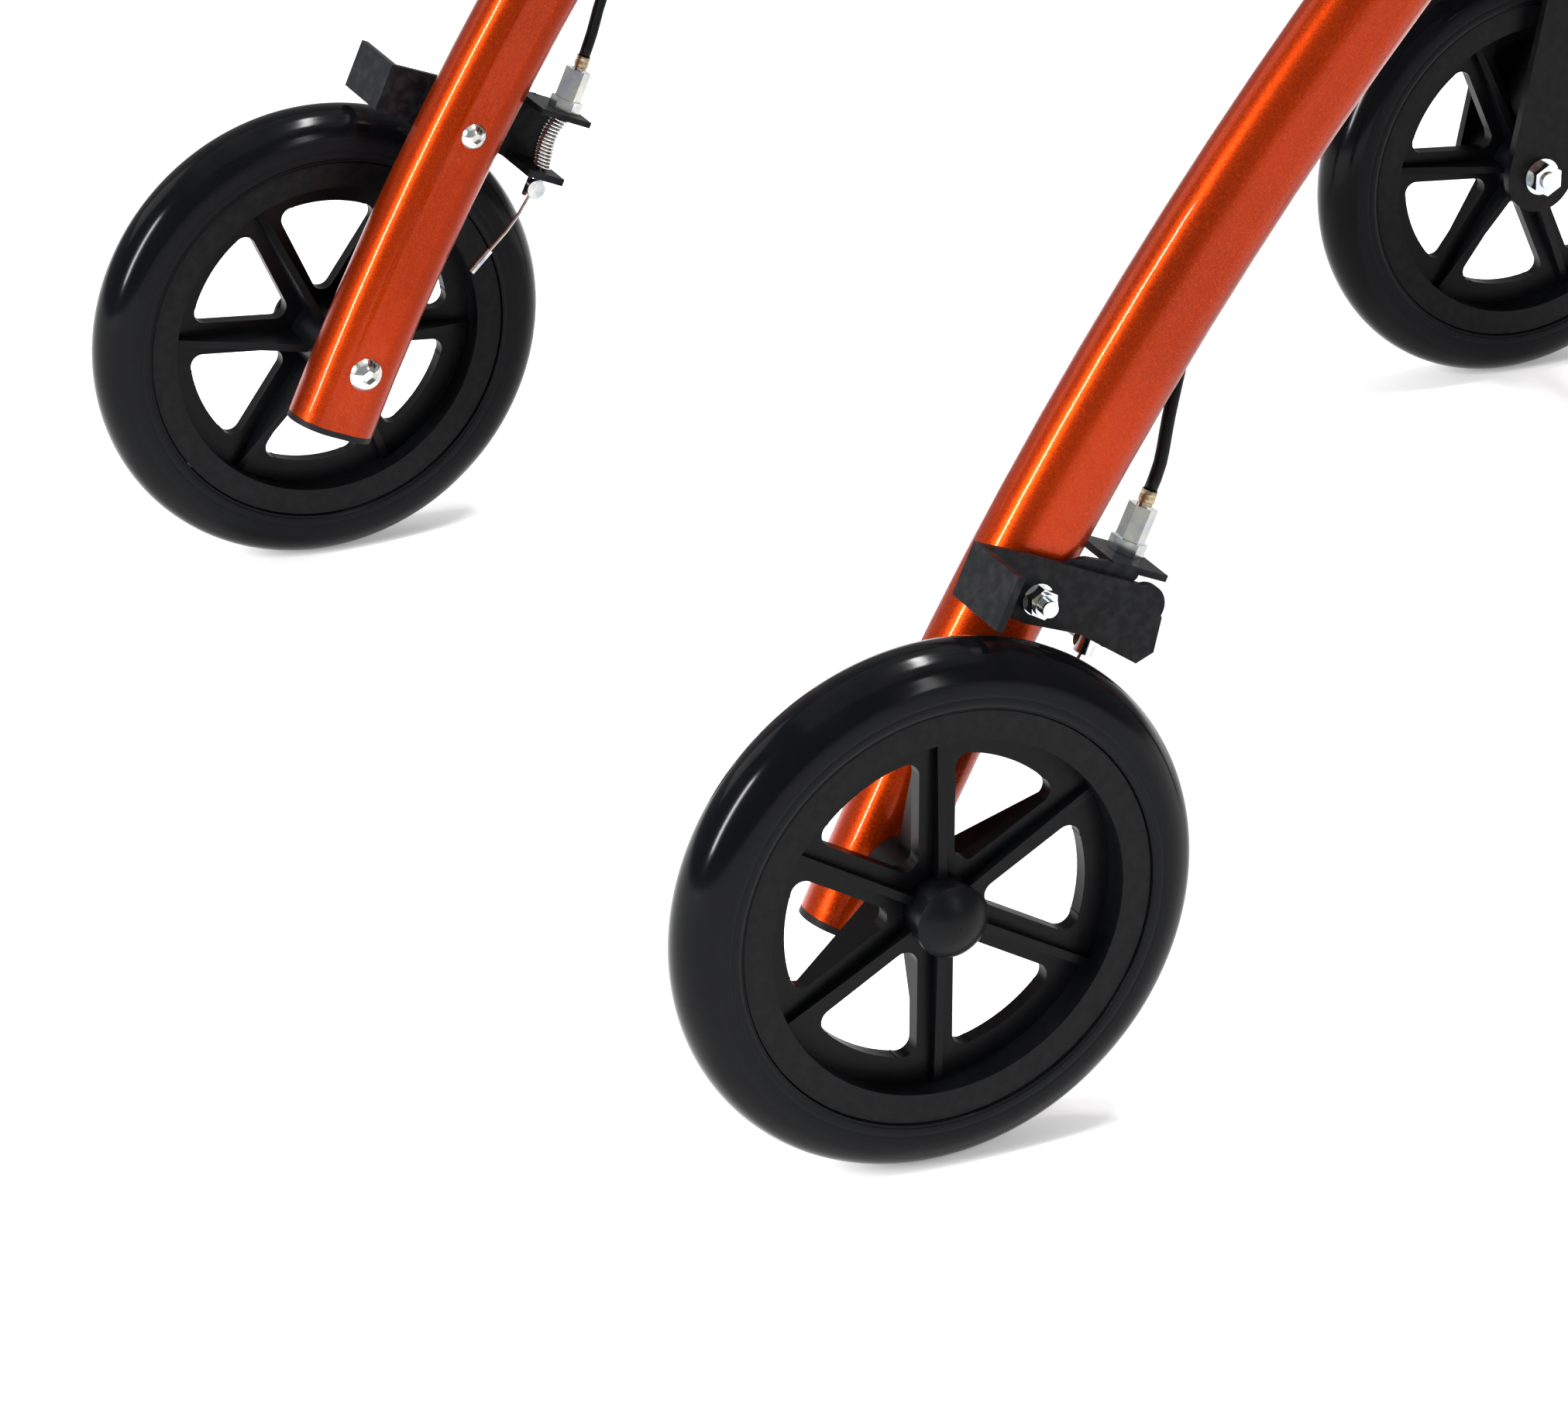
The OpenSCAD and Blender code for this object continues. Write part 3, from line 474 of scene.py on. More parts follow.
def dark_finish(name, colour, roughness, fine, bump, edge, wear_amount=0.2, dust=0.1, specular=0.09):
    """A dark moulded or powder-coated finish with grain, mottled gloss, dust and rubbed edges."""
    material, tree, shader = new_material(name, roughness=roughness, specular=specular)
    grain = use_group(material, "moulded grain", Fine=fine, Coarse=30.0)
    tone = mix_colour(tree, grain["Mottle"], shaded(colour, 0.9), colour)
    wear = use_group(material, "edge wear", Amount=wear_amount)
    worn = mix_colour(tree, wear["Mask"], tone, edge)
    film = use_group(material, "settled dust", Amount=dust)
    tree.links.new(mix_colour(tree, film["Mask"], worn, (0.03, 0.029, 0.028)), shader.inputs["Base Color"])
    rough = math_node(tree, "MULTIPLY_ADD", grain["Mottle"], 0.08, roughness - 0.04)
    tree.links.new(rough, shader.inputs["Roughness"])
    bump_into(tree, shader, grain["Height"], bump, 0.00012)
    return material


def tyre_rubber():
    """Solid tyre: glossy crown, matte sidewall with faint moulding rings."""
    material, tree, shader = new_material("tyre rubber", roughness=0.3, specular=0.09)
    sideways = math_node(tree, "ABSOLUTE", split_xyz(tree, coordinates(tree, "Normal"))["X"])
    wall = ramp(tree, sideways, 0.93, 0.995)
    grain = use_group(material, "moulded grain", Fine=1400.0, Coarse=22.0)
    crown_tone = mix_colour(tree, grain["Mottle"], (0.0012, 0.0013, 0.0017), (0.0018, 0.002, 0.0026))
    tone = mix_colour(tree, wall, crown_tone, (0.003, 0.0033, 0.0042))
    film = use_group(material, "settled dust", Amount=0.12)
    tree.links.new(mix_colour(tree, film["Mask"], tone, (0.025, 0.024, 0.023)), shader.inputs["Base Color"])
    gloss = math_node(tree, "MULTIPLY_ADD", wall, 0.40, 0.10)
    mottled = math_node(tree, "MULTIPLY_ADD", grain["Mottle"], 0.08, gloss)
    tree.links.new(mottled, shader.inputs["Roughness"])
    height = math_node(tree, "MULTIPLY", grain["Height"], wall)
    bump_into(tree, shader, height, 0.25, 0.00015)
    return material


def vinyl():
    """Grained upholstery vinyl."""
    material, tree, shader = new_material("seat vinyl", roughness=0.42, specular=0.25)
    cells = tree.nodes.new("ShaderNodeTexVoronoi")
    cells.feature = "DISTANCE_TO_EDGE"
    cells.inputs["Scale"].default_value = 520
    tree.links.new(coordinates(tree), cells.inputs["Vector"])
    crease = ramp(tree, cells.outputs["Distance"], 0.0, 0.22)
    colour = tuple(settings().vinyl)
    grain = use_group(material, "moulded grain", Fine=700.0, Coarse=12.0)
    tone = mix_colour(tree, grain["Mottle"], colour, shaded(colour, 1.9))
    tree.links.new(mix_colour(tree, crease, shaded(colour, 0.5), tone), shader.inputs["Base Color"])
    rough = math_node(tree, "MULTIPLY_ADD", grain["Mottle"], 0.25, 0.32)
    tree.links.new(rough, shader.inputs["Roughness"])
    bump_into(tree, shader, crease, 0.45, 0.0003)
    return material


def cloth(name, threads, strength):
    """Woven cloth in the settings' colour."""
    material, tree, shader = new_material(name, roughness=0.85, specular=0.12, sheen=0.1)
    colour = tuple(settings().cloth)
    weave = use_group(material, "plain weave", Threads=threads)
    grain = use_group(material, "moulded grain", Fine=900.0, Coarse=9.0)
    thread = mix_colour(tree, weave["Thread"], colour, shaded(colour, 1.8))
    tree.links.new(mix_colour(tree, grain["Mottle"], thread, colour), shader.inputs["Base Color"])
    bump_into(tree, shader, weave["Height"], strength, 0.0003)
    return material


def plain_finish(name, colour, roughness, metallic=0.0):
    """A small trim's finish with a little grain and mottling."""
    material, tree, shader = new_material(name, roughness=roughness, metallic=metallic)
    grain = use_group(material, "moulded grain", Fine=2000.0, Coarse=90.0)
    tone = mix_colour(tree, grain["Mottle"], shaded(colour, 0.7), colour)
    tree.links.new(tone, shader.inputs["Base Color"])
    bump_into(tree, shader, grain["Height"], 0.1, 0.0001)
    return material


FINISHES = {}
SOFT_EDGES = {"black_steel": 0.0005, "black_plastic": 0.0009, "wheel_plastic": 0.0007, "zinc": 0.0003}


def finish_for(slot):
    """The finish made for a material slot."""
    return FINISHES[slot]


class WALKER_OT_finishes(bpy.types.Operator):
    """Make every finish and put it on the CAD parts"""
    bl_idname = "walker.finishes"
    bl_label = "Finishes"

    def execute(self, context):
        FINISHES.update({
            "orange_paint": lacquer(),
            "zinc": zinc_plate(),
            "post_metal": satin_metal(),
            "black_steel": dark_finish("satin black steel", (0.0034, 0.0038, 0.0048), 0.42, 2200.0, 0.2,
                                       (0.06, 0.06, 0.065), wear_amount=0.12),
            "black_plastic": dark_finish("moulded nylon", (0.008, 0.008, 0.009), 0.48, 1300.0, 0.35,
                                         (0.03, 0.03, 0.03)),
            "wheel_plastic": dark_finish("wheel plastic", (0.0022, 0.0024, 0.003), 0.36, 1500.0, 0.22,
                                         (0.02, 0.02, 0.022), wear_amount=0.12, dust=0.05),
            "tyre": tyre_rubber(),
            "grip_rubber": dark_finish("grip rubber", (0.009, 0.009, 0.0095), 0.7, 900.0, 0.4,
                                       (0.03, 0.03, 0.03), specular=0.12),
            "cable_jacket": dark_finish("cable jacket", (0.0035, 0.0035, 0.004), 0.34, 1600.0, 0.12,
                                        (0.02, 0.02, 0.02)),
            "seat_vinyl": vinyl(),
            "strap_fabric": cloth("strap webbing", 2600.0, 0.8),
            "bag_fabric": cloth("bag polyester", 4200.0, 0.6),
            "brass": plain_finish("dull brass", (0.42, 0.33, 0.2), 0.4, 1.0),
            "thread": plain_finish("grey thread", (0.07, 0.07, 0.075), 0.8),
        })
        slots = {part["node"]: part["material_slot"] for part in frame["record"]["subparts"]}
        for name, part in frame["nodes"].items():
            slot = slots[name]
            part.data.materials.clear()
            part.data.materials.append(finish_for(slot))
            if slot in SOFT_EDGES:
                soften_edges(part, SOFT_EDGES[slot])
        return {"FINISHED"}


# ---------- wheels ----------

# The shallow rings of a tyre's wall: how far in from the crown, as a share, and how deep in mm.
WALL_RINGS = ((0.12, 0), (0.2, 0.25), (0.28, 0), (0.75, 0), (0.84, 0.5), (0.93, 0))


def tyre_outline(width, outer, inner):
    """Closed outline of a solid tyre as (radius, x): a round crown and two flat walls."""
    half = width / 2
    crown = outer - half
    steps = 32
    out = []
    for k in range(steps + 1):
        turn = math.pi * k / steps - math.pi / 2
        out.append((crown + half * math.cos(turn), half * math.sin(turn)))
    wall = [(crown + (inner - crown) * share, half - depth * MM) for share, depth in WALL_RINGS]
    wall += [(inner + 0.0004, half - 0.0002), (inner, half - 0.0012)]
    return out + wall + [(radius, -x) for radius, x in reversed(wall)]


class WALKER_OT_tyres(bpy.types.Operator):
    """Make the four tyres"""
    bl_idname = "walker.tyres"
    bl_label = "Tyres"

    def execute(self, context):
        for side, _ in SIDES:
            for end in ("front", "rear"):
                node = f"{side}_{end}_tyre"
                rim_low, rim_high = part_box(f"{side}_{end}_rim")
                extent = size(node)
                clearance = 0.0002
                inner = (rim_high[2] - rim_low[2]) / 2 + clearance
                outline = tyre_outline(extent.x, extent.z / 2, inner)
                piece = turned_x(f"{node}_moulded", outline, middle(node), finish_for("tyre"))
                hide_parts(node)
                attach(piece, f"{side}_{end}_wheel")
        return {"FINISHED"}


# ---------- cables and springs ----------

LOWER_ROUTE = [
    (251, 177, 219.6), (251, 173, 230), (249, 169, 246), (245, 163, 262), (240, 156, 279),
    (235, 148, 297), (232, 138, 315), (231, 125, 331), (231, 104, 356), (231, 79, 386),
    (231, 54, 415), (231, 30, 442), (231, -2, 476), (231, -43, 520), (231, -86, 566),
    (230, -110, 594), (227, -132, 617), (226, -158, 634), (226, -178, 652),
]
UPPER_ROUTE = [
    (226, -184, 666), (226, -192, 690), (226, -202, 720), (226, -211, 752), (226, -216, 785),
    (227, -216, 816), (229, -208, 843), (231, -194, 862), (233, -172, 872), (234, -146, 870),
    (235, -122, 861), (236, -102, 855), (236, -84, 854.9), (236, -76, 855.6),
]


def on_side(route, sign):
    """A route in millimetres on the left, as metres on the asked side."""
    return [Vector((sign * x, y, z)) * MM for x, y, z in route]


class WALKER_OT_cables(bpy.types.Operator):
    """Make the brake cable housings, each smooth along its route"""
    bl_idname = "walker.cables"
    bl_label = "Cables"

    def execute(self, context):
        # Each housing bends with its joint between two places on its path, counted from an end.
        for side, sign in SIDES:
            piece, path = self.add_housing(f"{side}_lower_cable", on_side(LOWER_ROUTE, sign))
            tuple(path[-22])
            tuple(path[-3])
            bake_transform(piece)
            piece, path = self.add_housing(f"{side}_upper_cable", on_side(UPPER_ROUTE, sign))
            tuple(path[2])
            tuple(path[-12])
            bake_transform(piece)
        return {"FINISHED"}

    def add_housing(self, node, route):
        """One housing in place of its CAD cable; gives the piece and its path."""
        path = curve_through(route, 0.006)
        piece = tube(f"{node}_housing", path, settings().jacket_radius, finish_for("cable_jacket"))
        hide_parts(node)
        return piece, path


class WALKER_OT_springs(bpy.types.Operator):
    """Make the bowed return springs of the brakes"""
    bl_idname = "walker.springs"
    bl_label = "Return springs"

    def execute(self, context):
        wire = settings().spring_wire
        turns, points_per_turn = 15, 16
        coil_radius, bow = 0.0036, 0.0022
        inset_y, inset_z = 0.0040, 0.0020
        for side, _ in SIDES:
            node = f"{side}_brake_spring"
            low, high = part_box(node)
            x = (low[0] + high[0]) / 2
            top = Vector((x, low[1] + inset_y, high[2] - inset_z))
            foot = Vector((x, high[1] - inset_y, low[2] + inset_z))
            along = foot - top
            span = along.normalized()
            bow_dir = ACROSS.cross(span)
            if bow_dir.y < 0:
                bow_dir.negate()
            path = []
            for k in range(turns * points_per_turn + 1):
                share = k / (turns * points_per_turn)
                turn = 2 * math.pi * turns * share
                centre = top + along * share + bow_dir * (bow * math.sin(math.pi * share))
                path.append(centre + coil_radius * (math.cos(turn) * ACROSS + math.sin(turn) * bow_dir))
            piece = tube(f"{node}_coil", path, wire, finish_for("zinc"), sides=8)
            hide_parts(node)
            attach(piece, "rear_frame")
            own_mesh(piece)
        return {"FINISHED"}


class WALKER_OT_ferrules(bpy.types.Operator):
    """Make the crimped brass ferrule where each housing meets its adjuster"""
    bl_idname = "walker.ferrules"
    bl_label = "Ferrules"

    def execute(self, context):
        sides, seated = 24, 0.8
        profile = [(0.0, 2.9), (1.5, 3.0), (1.9, 2.6), (2.3, 3.0), (4.2, 3.0), (4.6, 2.7), (5.6, 2.7)]
        for side, sign in SIDES:
            start, inside = on_side(LOWER_ROUTE[:2], sign)
            down = (start - inside).normalized()
            up = down.cross(ACROSS)
            rings = [circle(start + down * ((distance - seated) * MM), radius * MM, ACROSS, up, sides)
                     for distance, radius in profile]
            verts, faces = loop_data(rings)
            faces += end_caps(len(verts), sides, flipped=True)
            piece = new_mesh(f"{side}_cable_ferrule", verts, faces, finish_for("brass"))
            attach(piece, "rear_frame")
        return {"FINISHED"}


# ---------- seat ----------

def rounded_outline(width, depth, corner, steps=8):
    """Points round a rectangle with round corners, centred on the origin."""
    out = []
    for cx, cy, start in ((1, 1, 0), (-1, 1, 90), (-1, -1, 180), (1, -1, 270)):
        for k in range(steps + 1):
            turn = math.radians(start + 90 * k / steps)
            out.append(((width / 2 - corner) * cx + corner * math.cos(turn),
                        (depth / 2 - corner) * cy + corner * math.sin(turn)))
    return out


def block_between(name, outline, low, high, centre, material):
    """A closed block with the outline, from height low to high."""
    rings = [[Vector((centre.x + x, centre.y + y, z)) for x, y in outline] for z in (low, high)]
    verts, faces = loop_data(rings)
    return new_mesh(name, verts, faces + end_caps(len(verts), len(outline)), material, smooth=False)


def edge_share(value, half):
    """0 at the middle and 1 at the edge."""
    return min(1.0, abs(value) / half)


def ridge(value, centre, width):
    """A smooth bump of height 1 at the centre, for a seam or a channel."""
    return math.exp(-((value - centre) / width) ** 2)


CHANNELS = (-0.045, 0.045)      # y of the seat's sewn channels, from its middle
SEAM_HEIGHT = 0.42              # height of the side seam, as a share of the cushion
WELT_RADIUS = 0.0021


class WALKER_OT_seat_cushion(bpy.types.Operator):
    """Make the stuffed seat cushion with its sewn channels, piping and stitches"""
    bl_idname = "walker.seat_cushion"
    bl_label = "Seat cushion"

    def execute(self, context):
        node = "seat_cushion"
        low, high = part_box(node)
        extent, centre = size(node), middle(node)
        swell, foot, corner = 0.007, 0.001, 0.03
        outline = rounded_outline(extent.x - 2 * swell, extent.y - 2 * swell, corner)
        cushion = block_between("seat_cushion_cover", outline, low[2] + foot, high[2] - swell, centre,
                                finish_for("seat_vinyl"))
        inflate(cushion, voxel=0.0045, pressure=4, cap=0.009)
        self.sew(cushion, extent, centre, low)
        cushion.modifiers.new("smooth cover", "SUBSURF").render_levels = 1
        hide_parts(node)
        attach(cushion, "seat")
        self.add_piping(cushion, extent, centre, low)
        self.add_stitches(centre, high)
        return {"FINISHED"}

    def sew(self, cushion, extent, centre, low):
        """Crowns the cover, and draws in its channels, its side seam and a few wrinkles."""
        half_x, half_y = extent.x / 2, extent.y / 2
        crown_rise, channel_depth, wrinkle_rise, seam_pull = 0.004, 0.0045, 0.0009, 0.006
        for vertex in cushion.data.vertices:
            p = vertex.co
            x, y = p.x - centre.x, p.y - centre.y
            above = max(0.0, (p.z - low[2]) / extent.z)
            crown = (1 - edge_share(x, half_x) ** 3) * (1 - edge_share(y, half_y) ** 3)
            channel = sum(ridge(y, line, 0.004) for line in CHANNELS)
            channel *= max(0.0, 1 - edge_share(x, half_x - 0.03) ** 8)
            wrinkle = noise.noise(Vector((x * 22, y * 22, 3.1))) * wrinkle_rise
            p.z += above * (crown_rise * crown - channel_depth * channel + wrinkle)
            seam = ridge(p.z, low[2] + extent.z * SEAM_HEIGHT, 0.0022)
            if max(edge_share(x, half_x), edge_share(y, half_y)) > 0.9:
                p.x -= x * seam_pull * seam
                p.y -= y * seam_pull * seam
            p.z = max(p.z, low[2] + 0.0003)

    def add_piping(self, cushion, extent, centre, low):
        """A welt that hugs the cushion along its side seam."""
        z = low[2] + extent.z * SEAM_HEIGHT
        path = []
        for x, y in rounded_outline(extent.x, extent.y, 0.032, steps=10):
            outside = Vector((centre.x + x, centre.y + y, z))
            found, point, normal, _ = cushion.closest_point_on_mesh(outside)
            if not found:
                raise RuntimeError("the welt found no cushion to lie on")
            away = Vector((normal.x, normal.y, 0)).normalized()
            path.append(Vector((point.x, point.y, z)) + away * 0.0006)
        path.append(path[0].copy())
        path = curve_through(path, 0.008)
        welt = tube("seat_welt", path, WELT_RADIUS, finish_for("seat_vinyl"), sides=10)
        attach(welt, "seat")

    def add_stitches(self, centre, high):
        """Short threads along the two sewn channels."""
        count, first, step, length, thread = 52, -0.166, 0.0064, 0.0042, 0.00045
        z = high[2] - 0.0085
        verts, faces = [], []
        for line in CHANNELS:
            for k in range(count):
                start = Vector((centre.x + first + step * k, centre.y + line, z))
                path = [start, start + Vector((length / 2, 0, 0.0007)), start + Vector((length, 0, 0))]
                part_verts, part_faces = tube_data(path, thread, 6)
                faces += [tuple(i + len(verts) for i in face) for face in part_faces]
                verts += part_verts
        threads = new_mesh("seat_channel_stitches", verts, faces, finish_for("thread"))
        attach(threads, "seat")


# ---------- backrest ----------

STRAP_SECTION = [       # how far inside the outer arc in mm, and the height as a share of half the strap
    (5.2, -1), (6.0, -0.96), (8.2, -0.96), (9.0, -1), (9.0, 0.0), (9.0, 1), (8.2, 1.02), (6.0, 1.02),
    (5.2, 1), (5.2, 0.0),
]


class WALKER_OT_backrest(bpy.types.Operator):
    """Make the webbing strap and its stuffed back pad"""
    bl_idname = "walker.backrest"
    bl_label = "Backrest strap"

    def execute(self, context):
        node = "backrest_strap"
        low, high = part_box(node)
        half = (high[0] - low[0]) / 2
        bow = high[1] - low[1]
        radius = (half * half + bow * bow) / (2 * bow)
        centre_y = low[1] + radius
        reach = math.asin(half / radius)
        mid_z = (low[2] + high[2]) / 2

        def on_arc(turn, inward, z):
            """A point this far inside the strap's outer arc."""
            r = radius - inward
            return Vector((r * math.sin(turn), centre_y - r * math.cos(turn), z))

        steps = 96
        half_strap = size(node).z * 0.62 / 2
        rings = []
        for i in range(steps + 1):
            turn = reach * (2 * i / steps - 1)
            rings.append([on_arc(turn, inward * MM, mid_z + tall * half_strap)
                          for inward, tall in STRAP_SECTION])
        verts, faces = loop_data(rings)
        faces += end_caps(len(verts), len(STRAP_SECTION))
        strap = new_mesh("backrest_webbing", verts, faces, finish_for("strap_fabric"))
        soften_edges(strap, 0.0006)
        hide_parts(node)
        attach(strap, "front_frame")
        self.add_pad(on_arc, reach * 0.74, mid_z, size(node).z)
        return {"FINISHED"}

    def add_pad(self, on_arc, reach, mid_z, height):
        """A foam sleeve round the middle of the strap, sewn at its ends and along two lines."""
        steps, sides = 150, 44
        strap_depth, thickness, crease_rise = 0.0071, 0.0075, 0.0009
        half_height = height / 2 - 0.001
        rings = []
        for i in range(steps + 1):
            share = 2 * i / steps - 1
            end = (1 - abs(share) ** 14) ** 0.5 if abs(share) < 1 else 0.0
            end_seam = 0.4 * ridge(abs(share), 0.93, 0.012)
            ring = []
            for k in range(sides):
                a = 2 * math.pi * k / sides
                flat = math.copysign(abs(math.cos(a)) ** 0.75, math.cos(a))
                tall = math.copysign(abs(math.sin(a)) ** 0.55, math.sin(a))
                long_seam = 0.45 * ridge(abs(tall), 0.52, 0.035)
                puff = thickness * (1 - long_seam) * (1 - end_seam) * (0.35 + 0.65 * end)
                crease = crease_rise * noise.noise(Vector((share * 15, tall * 4, 1.7)))
                ring.append(on_arc(reach * share, strap_depth + flat * puff + crease,
                                   mid_z + tall * half_height * (0.9 + 0.1 * end)))
            rings.append(ring)
        verts, faces = loop_data(rings)
        faces += end_caps(len(verts), sides)
        pad = new_mesh("backrest_pad", verts, faces, finish_for("bag_fabric"))
        pad.modifiers.new("smooth pad", "SUBSURF").render_levels = 1
        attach(pad, "front_frame")


# ---------- bag ----------

HEM_SECTION = [         # outward and upward from the rim, in mm
    (1.4, -14), (1.8, -8), (1.6, 0), (0, 1.5), (-3.0, 0), (-3.2, -8), (-2.8, -14),
]
BAND_SECTION = [        # across and behind a webbing band's line, in mm
    (-11, 0.6), (-10.5, 1.6), (0, 1.8), (10.5, 1.6), (11, 0.6), (10.5, -0.8), (-10.5, -0.8),
]


class WALKER_OT_tote_bag(bpy.types.Operator):
    """Make the open tote bag, its pocket, hem and straps"""
    bl_idname = "walker.tote_bag"
    bl_label = "Tote bag"

    def execute(self, context):
        node = "tote_bag"
        low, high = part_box(node)
        extent, centre = size(node), middle(node)
        outline = self.dense_outline(extent)
        rows = 36
        rings = []
        for i in range(rows + 1):
            share = i / rows
            z = low[2] + 0.004 + (extent.z - 0.006) * share
            rings.append([self.sagged(x, y, z, share, extent, centre) for x, y in outline])
        verts, faces = loop_data(rings)
        faces.append(tuple(reversed(range(len(outline)))))
        bag = new_mesh("tote_bag_shell", verts, faces, finish_for("bag_fabric"))
        wall = bag.modifiers.new("cloth thickness", "SOLIDIFY")
        wall.thickness = 0.0016
        wall.offset = -1
        apply_modifiers(bag)
        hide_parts(node)
        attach(bag, "front_frame")
        self.add_hem(rings[-1])
        self.add_pocket(rings, outline, extent)
        self.add_webbing(high[2], centre, extent)
        return {"FINISHED"}

    def dense_outline(self, extent):
        """Points about 8 mm apart round the bag, centred on the origin."""
        inset, corner, gap = 0.006, 0.024, 0.008
        outline = rounded_outline(extent.x - inset, extent.y - inset, corner, steps=6)
        dense = []
        for (ax, ay), (bx, by) in zip(outline, outline[1:] + outline[:1]):
            count = max(1, int(math.hypot(bx - ax, by - ay) / gap))
            dense += [(ax + (bx - ax) * k / count, ay + (by - ay) * k / count) for k in range(count)]
        return dense

    def sagged(self, x, y, z, share, extent, centre):
        """Where a point of the straight-sided bag hangs, at this share of the bag's height."""
        sag = settings().bag_sag
        across = 1 - edge_share(x, extent.x / 2) ** 2
        panel = across if abs(y) > extent.y * 0.4 else 0.0
        side_panel = 1 - edge_share(y, extent.y / 2) ** 2 if abs(x) > extent.x * 0.42 else 0.0
        low_heavy = math.sin(math.pi * min(1.0, (1 - share) * 1.15)) ** 2
        pull = 1 - 0.045 * share * (1 - edge_share(x, extent.x / 2))
        foot = 1 - 0.06 * (1 - min(1.0, share * 9)) ** 2
        fold = 0.0032 * noise.noise(Vector((x * 13, y * 13, z * 19)))
        fold += 0.0011 * noise.noise(Vector((x * 42, y * 42, z * 30)))
        bulge_x = sag * 0.5 * low_heavy * side_panel + fold
        bulge_y = (sag * low_heavy * panel + fold) * (y < 0 or 0.4)
        dip = 0.006 * share ** 6 * across
        return Vector((centre.x + x * foot + math.copysign(bulge_x, x),
                       centre.y + y * foot * pull + math.copysign(bulge_y, y), z - dip))

    def add_hem(self, rim):
        """A bound edge round the mouth."""
        upward = Vector((0, 0, 1))
        rings = []
        for i, point in enumerate(rim):
            ahead = (rim[(i + 1) % len(rim)] - rim[i - 1]).normalized()
            outward = ahead.cross(upward).normalized()
            rings.append([point + outward * (a * MM) + upward * (b * MM) for a, b in HEM_SECTION])
        verts, faces = loop_data(rings, closed_along=True)
        hem = new_mesh("tote_bag_hem", verts, faces, finish_for("strap_fabric"))
        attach(hem, "front_frame")

    def add_pocket(self, rings, outline, extent):
        """A patch pocket on the front panel with its own bound edge."""
        first_row, rows = 3, 18
        depth, stand_off = 0.0055 * 0.55, 0.0012
        half = extent.x * 0.33
        columns = sorted((i for i, (x, y) in enumerate(outline) if y < -extent.y * 0.4 and abs(x) < half),
                         key=lambda i: outline[i][0])
        grid = []
        for r in range(rows + 1):
            tall = 1 - abs(2 * r / rows - 1) ** 4
            row = []
            for i in columns:
                puff = depth * (1 - edge_share(outline[i][0], half) ** 4) * tall
                row.append(rings[first_row + r][i] - Vector((0, stand_off + puff, 0)))
            grid.append(row)
        verts, faces = loop_data(grid, closed_across=False)
        pocket = new_mesh("tote_bag_pocket", verts, faces, finish_for("bag_fabric"))
        pocket.modifiers.new("cloth thickness", "SOLIDIFY").thickness = 0.0012
        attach(pocket, "front_frame")
        edge = [v - Vector((0, 0.0008, 0)) for v in grid[-1]]
        binding = tube("tote_bag_pocket_edge", edge, 0.0019, finish_for("strap_fabric"), sides=8)
        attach(binding, "front_frame")

    def add_webbing(self, top, centre, extent):
        """Two webbing bands from the hooks down the back panel."""
        _, hook_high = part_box("bag_hooks")
        back = centre.y + extent.y / 2 - 0.0005
        rings_down, gap, start = 13, 0.010, 0.03
        for side, sign in SIDES:
            x = sign * (abs(hook_high[0]) - 0.012)
            rings = [[Vector((x + a * MM, back + b * MM, top - start - gap * k)) for a, b in BAND_SECTION]
                     for k in range(rings_down)]
            verts, faces = loop_data(rings)
            faces += end_caps(len(verts), len(BAND_SECTION), flipped=True)
            band = new_mesh(f"{side}_bag_webbing", verts, faces, finish_for("strap_fabric"))
            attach(band, "front_frame")


# ---------- stage ----------

CAMERA_AT = Vector((-2.08728, 1.17891, 1.12494))        # behind the walker, on its right
CAMERA_AHEAD = Vector((0.81860, -0.38310, -0.42800))
CAMERA_LENS = 147.79
SENSOR = 36.0
FLOOR_REACH = 9.0
LIGHTS = [      # name, where it stands, what it faces, power, width, height
    ("key", (-0.7, 3.2, 1.5), (-0.1, 0.1, 0.3), 150, 0.3, 1.6),
    ("top strip", (-0.1, -0.5, 3.0), (-0.1, 0, 0.2), 100, 1.4, 0.2),
    ("overhead", (0, 0, 3.2), (0, 0, 0), 26, 4.0, 4.0),
    ("rim", (-2.6, -0.6, 1.5), (0, 0, 0.2), 16, 0.2, 1.6),
    ("fill", (1.8, 1.9, 1.6), (0, 0, 0.2), 8, 1.2, 1.2),
]


def area_light(name, at, target, power, width, height):
    """A white rectangular light that faces a target."""
    data = bpy.data.lights.new(name, "AREA")
    data.shape = "RECTANGLE"
    data.size = width
    data.size_y = height
    data.energy = power
    lamp = bpy.data.objects.new(name, data)
    bpy.context.scene.collection.objects.link(lamp)
    lamp.location = at
    lamp.rotation_euler = (Vector(target) - Vector(at)).to_track_quat("-Z", "Y").to_euler()


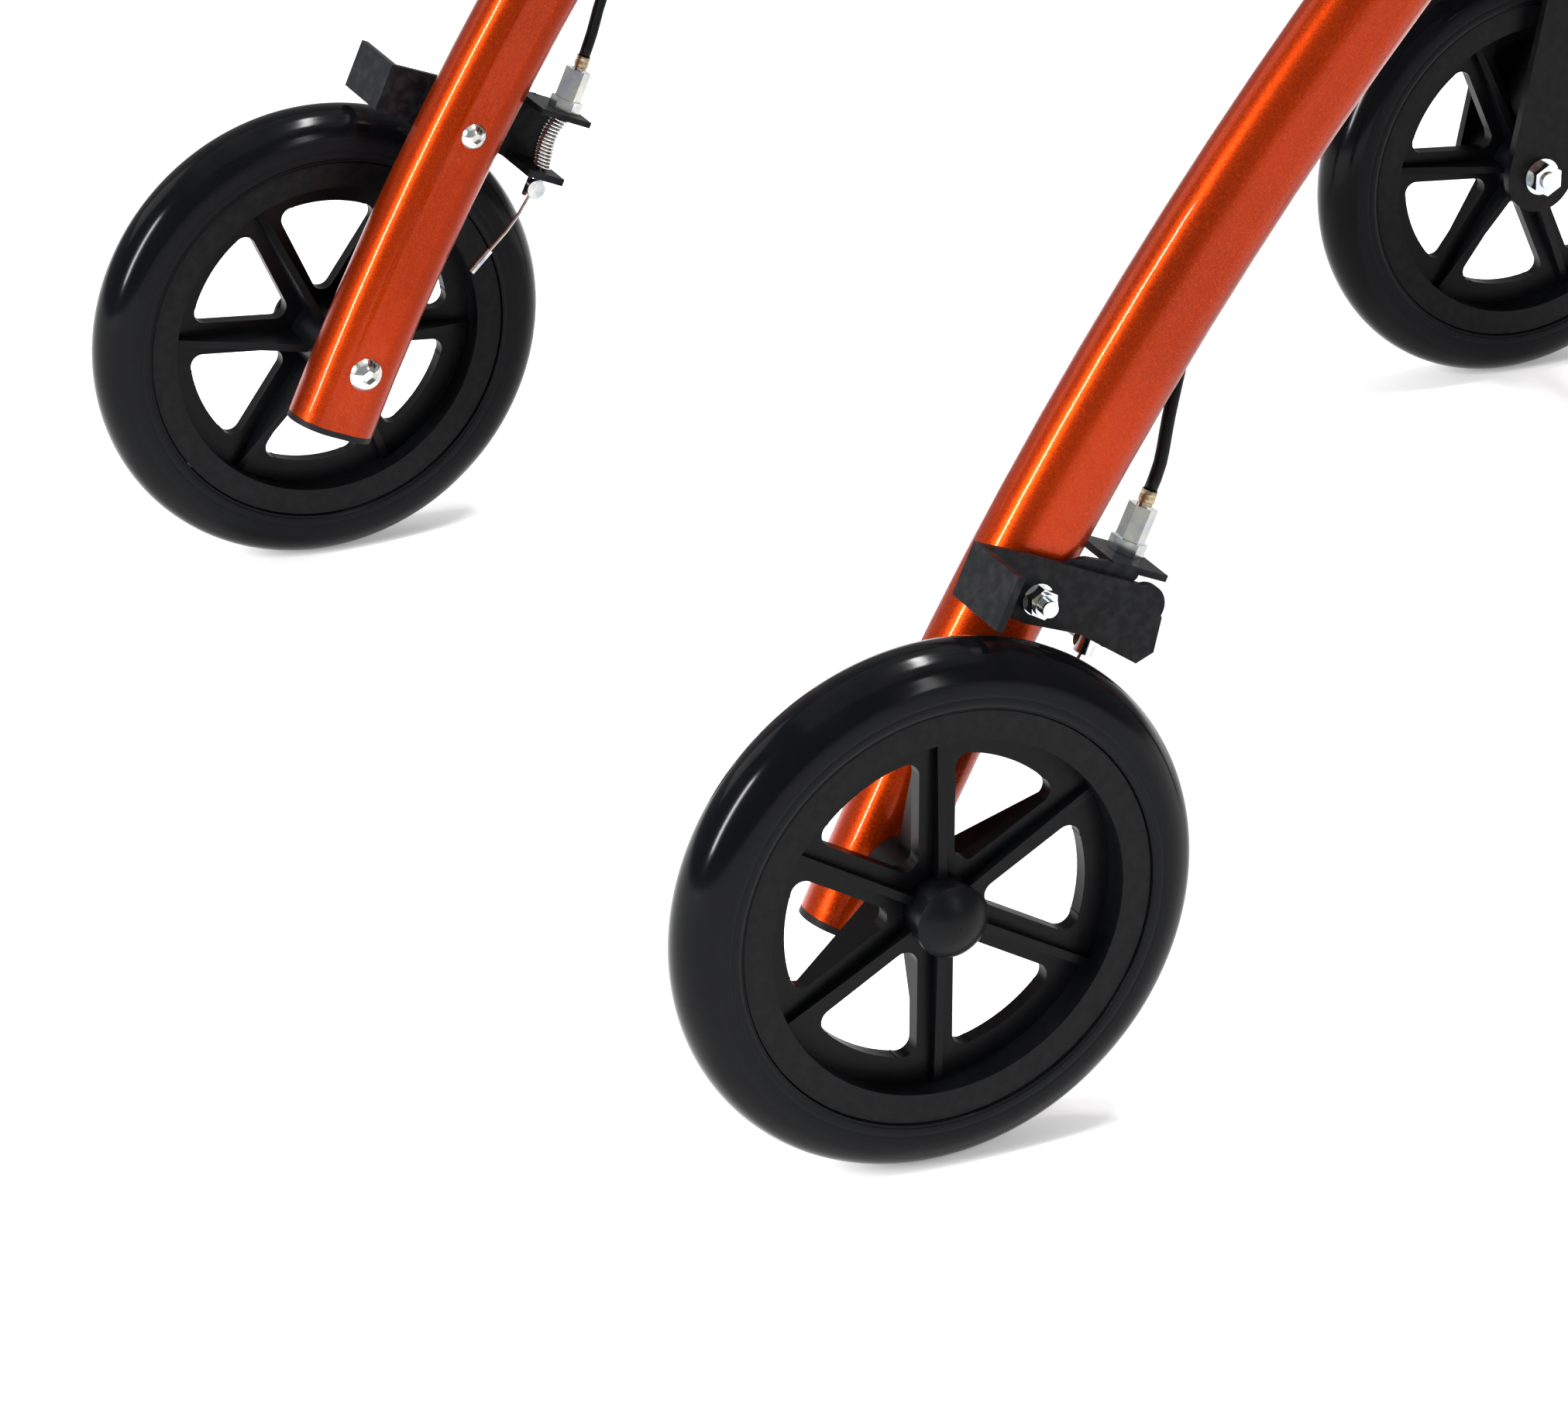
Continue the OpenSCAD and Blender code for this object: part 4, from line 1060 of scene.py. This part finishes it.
class WALKER_OT_stage(bpy.types.Operator):
    """Make the camera, the pale floor and the soft studio light"""
    bl_idname = "walker.stage"
    bl_label = "Stage"

    def execute(self, context):
        self.add_camera(context.scene)
        self.add_floor()
        self.add_room(context.scene)
        for light in LIGHTS:
            area_light(*light)
        return {"FINISHED"}

    def add_camera(self, scene):
        """The camera, at its place behind the walker."""
        data = bpy.data.cameras.new("camera")
        data.sensor_width = SENSOR
        data.lens = CAMERA_LENS
        data.clip_end = 50
        camera = bpy.data.objects.new("camera", data)
        scene.collection.objects.link(camera)
        camera.location = CAMERA_AT
        camera.rotation_euler = CAMERA_AHEAD.to_track_quat("-Z", "Y").to_euler()
        scene.camera = camera

    def add_room(self, scene):
        """An even white room round the walker."""
        scene.view_settings.view_transform = "Standard"
        world = bpy.data.worlds.new("soft room")
        world.use_nodes = True
        background = world.node_tree.nodes["Background"]
        background.inputs["Color"].default_value = (1, 1, 1, 1)
        background.inputs["Strength"].default_value = 0.45
        scene.world = world

    def add_floor(self):
        """A plain pale floor that glows a little, so that it stays white."""
        material, tree, shader = new_material("pale floor", roughness=0.9, specular=0.1)
        shade = ramp(tree, noise_value(tree, 1.5, 2.0), 0.0, 1.0)
        tone = mix_colour(tree, shade, (0.93, 0.93, 0.93), (0.96, 0.96, 0.96))
        tree.links.new(tone, shader.inputs["Base Color"])
        shader.inputs["Emission Color"].default_value = (1, 1, 1, 1)
        shader.inputs["Emission Strength"].default_value = 0.25
        corners = [(x * FLOOR_REACH, y * FLOOR_REACH, 0) for x, y in ((-1, -1), (1, -1), (1, 1), (-1, 1))]
        new_mesh("floor", corners, [(0, 1, 2, 3)], material, smooth=False)


class WALKER_PT_panel(bpy.types.Panel):
    """The walker's pieces, one button each"""
    bl_idname = "WALKER_PT_panel"
    bl_label = "Walker"
    bl_space_type = "VIEW_3D"
    bl_region_type = "UI"
    bl_category = "Walker"

    def draw(self, context):
        for name in ("paint", "cloth", "vinyl", "jacket_radius", "spring_wire", "bag_sag"):
            self.layout.prop(context.scene.walker_looks, name)
        for operator in OPERATORS:
            self.layout.operator(operator.bl_idname)


OPERATORS = (WALKER_OT_stage, WALKER_OT_finishes, WALKER_OT_tyres, WALKER_OT_cables, WALKER_OT_springs,
             WALKER_OT_ferrules, WALKER_OT_seat_cushion, WALKER_OT_backrest, WALKER_OT_tote_bag)
CLASSES = (WalkerSettings, *OPERATORS, WALKER_PT_panel)


def register():
    """Adds the walker's operators, panel and settings to Blender."""
    for cls in CLASSES:
        bpy.utils.register_class(cls)
    bpy.types.Scene.walker_looks = bpy.props.PointerProperty(type=WalkerSettings)


def unregister():
    """Takes them out again."""
    del bpy.types.Scene.walker_looks
    for cls in reversed(CLASSES):
        bpy.utils.unregister_class(cls)


def main():
    """Makes every piece in turn."""
    register()
    for operator in OPERATORS:
        group, name = operator.bl_idname.split(".")
        getattr(getattr(bpy.ops, group), name)()


if __name__ == "__main__":
    main()
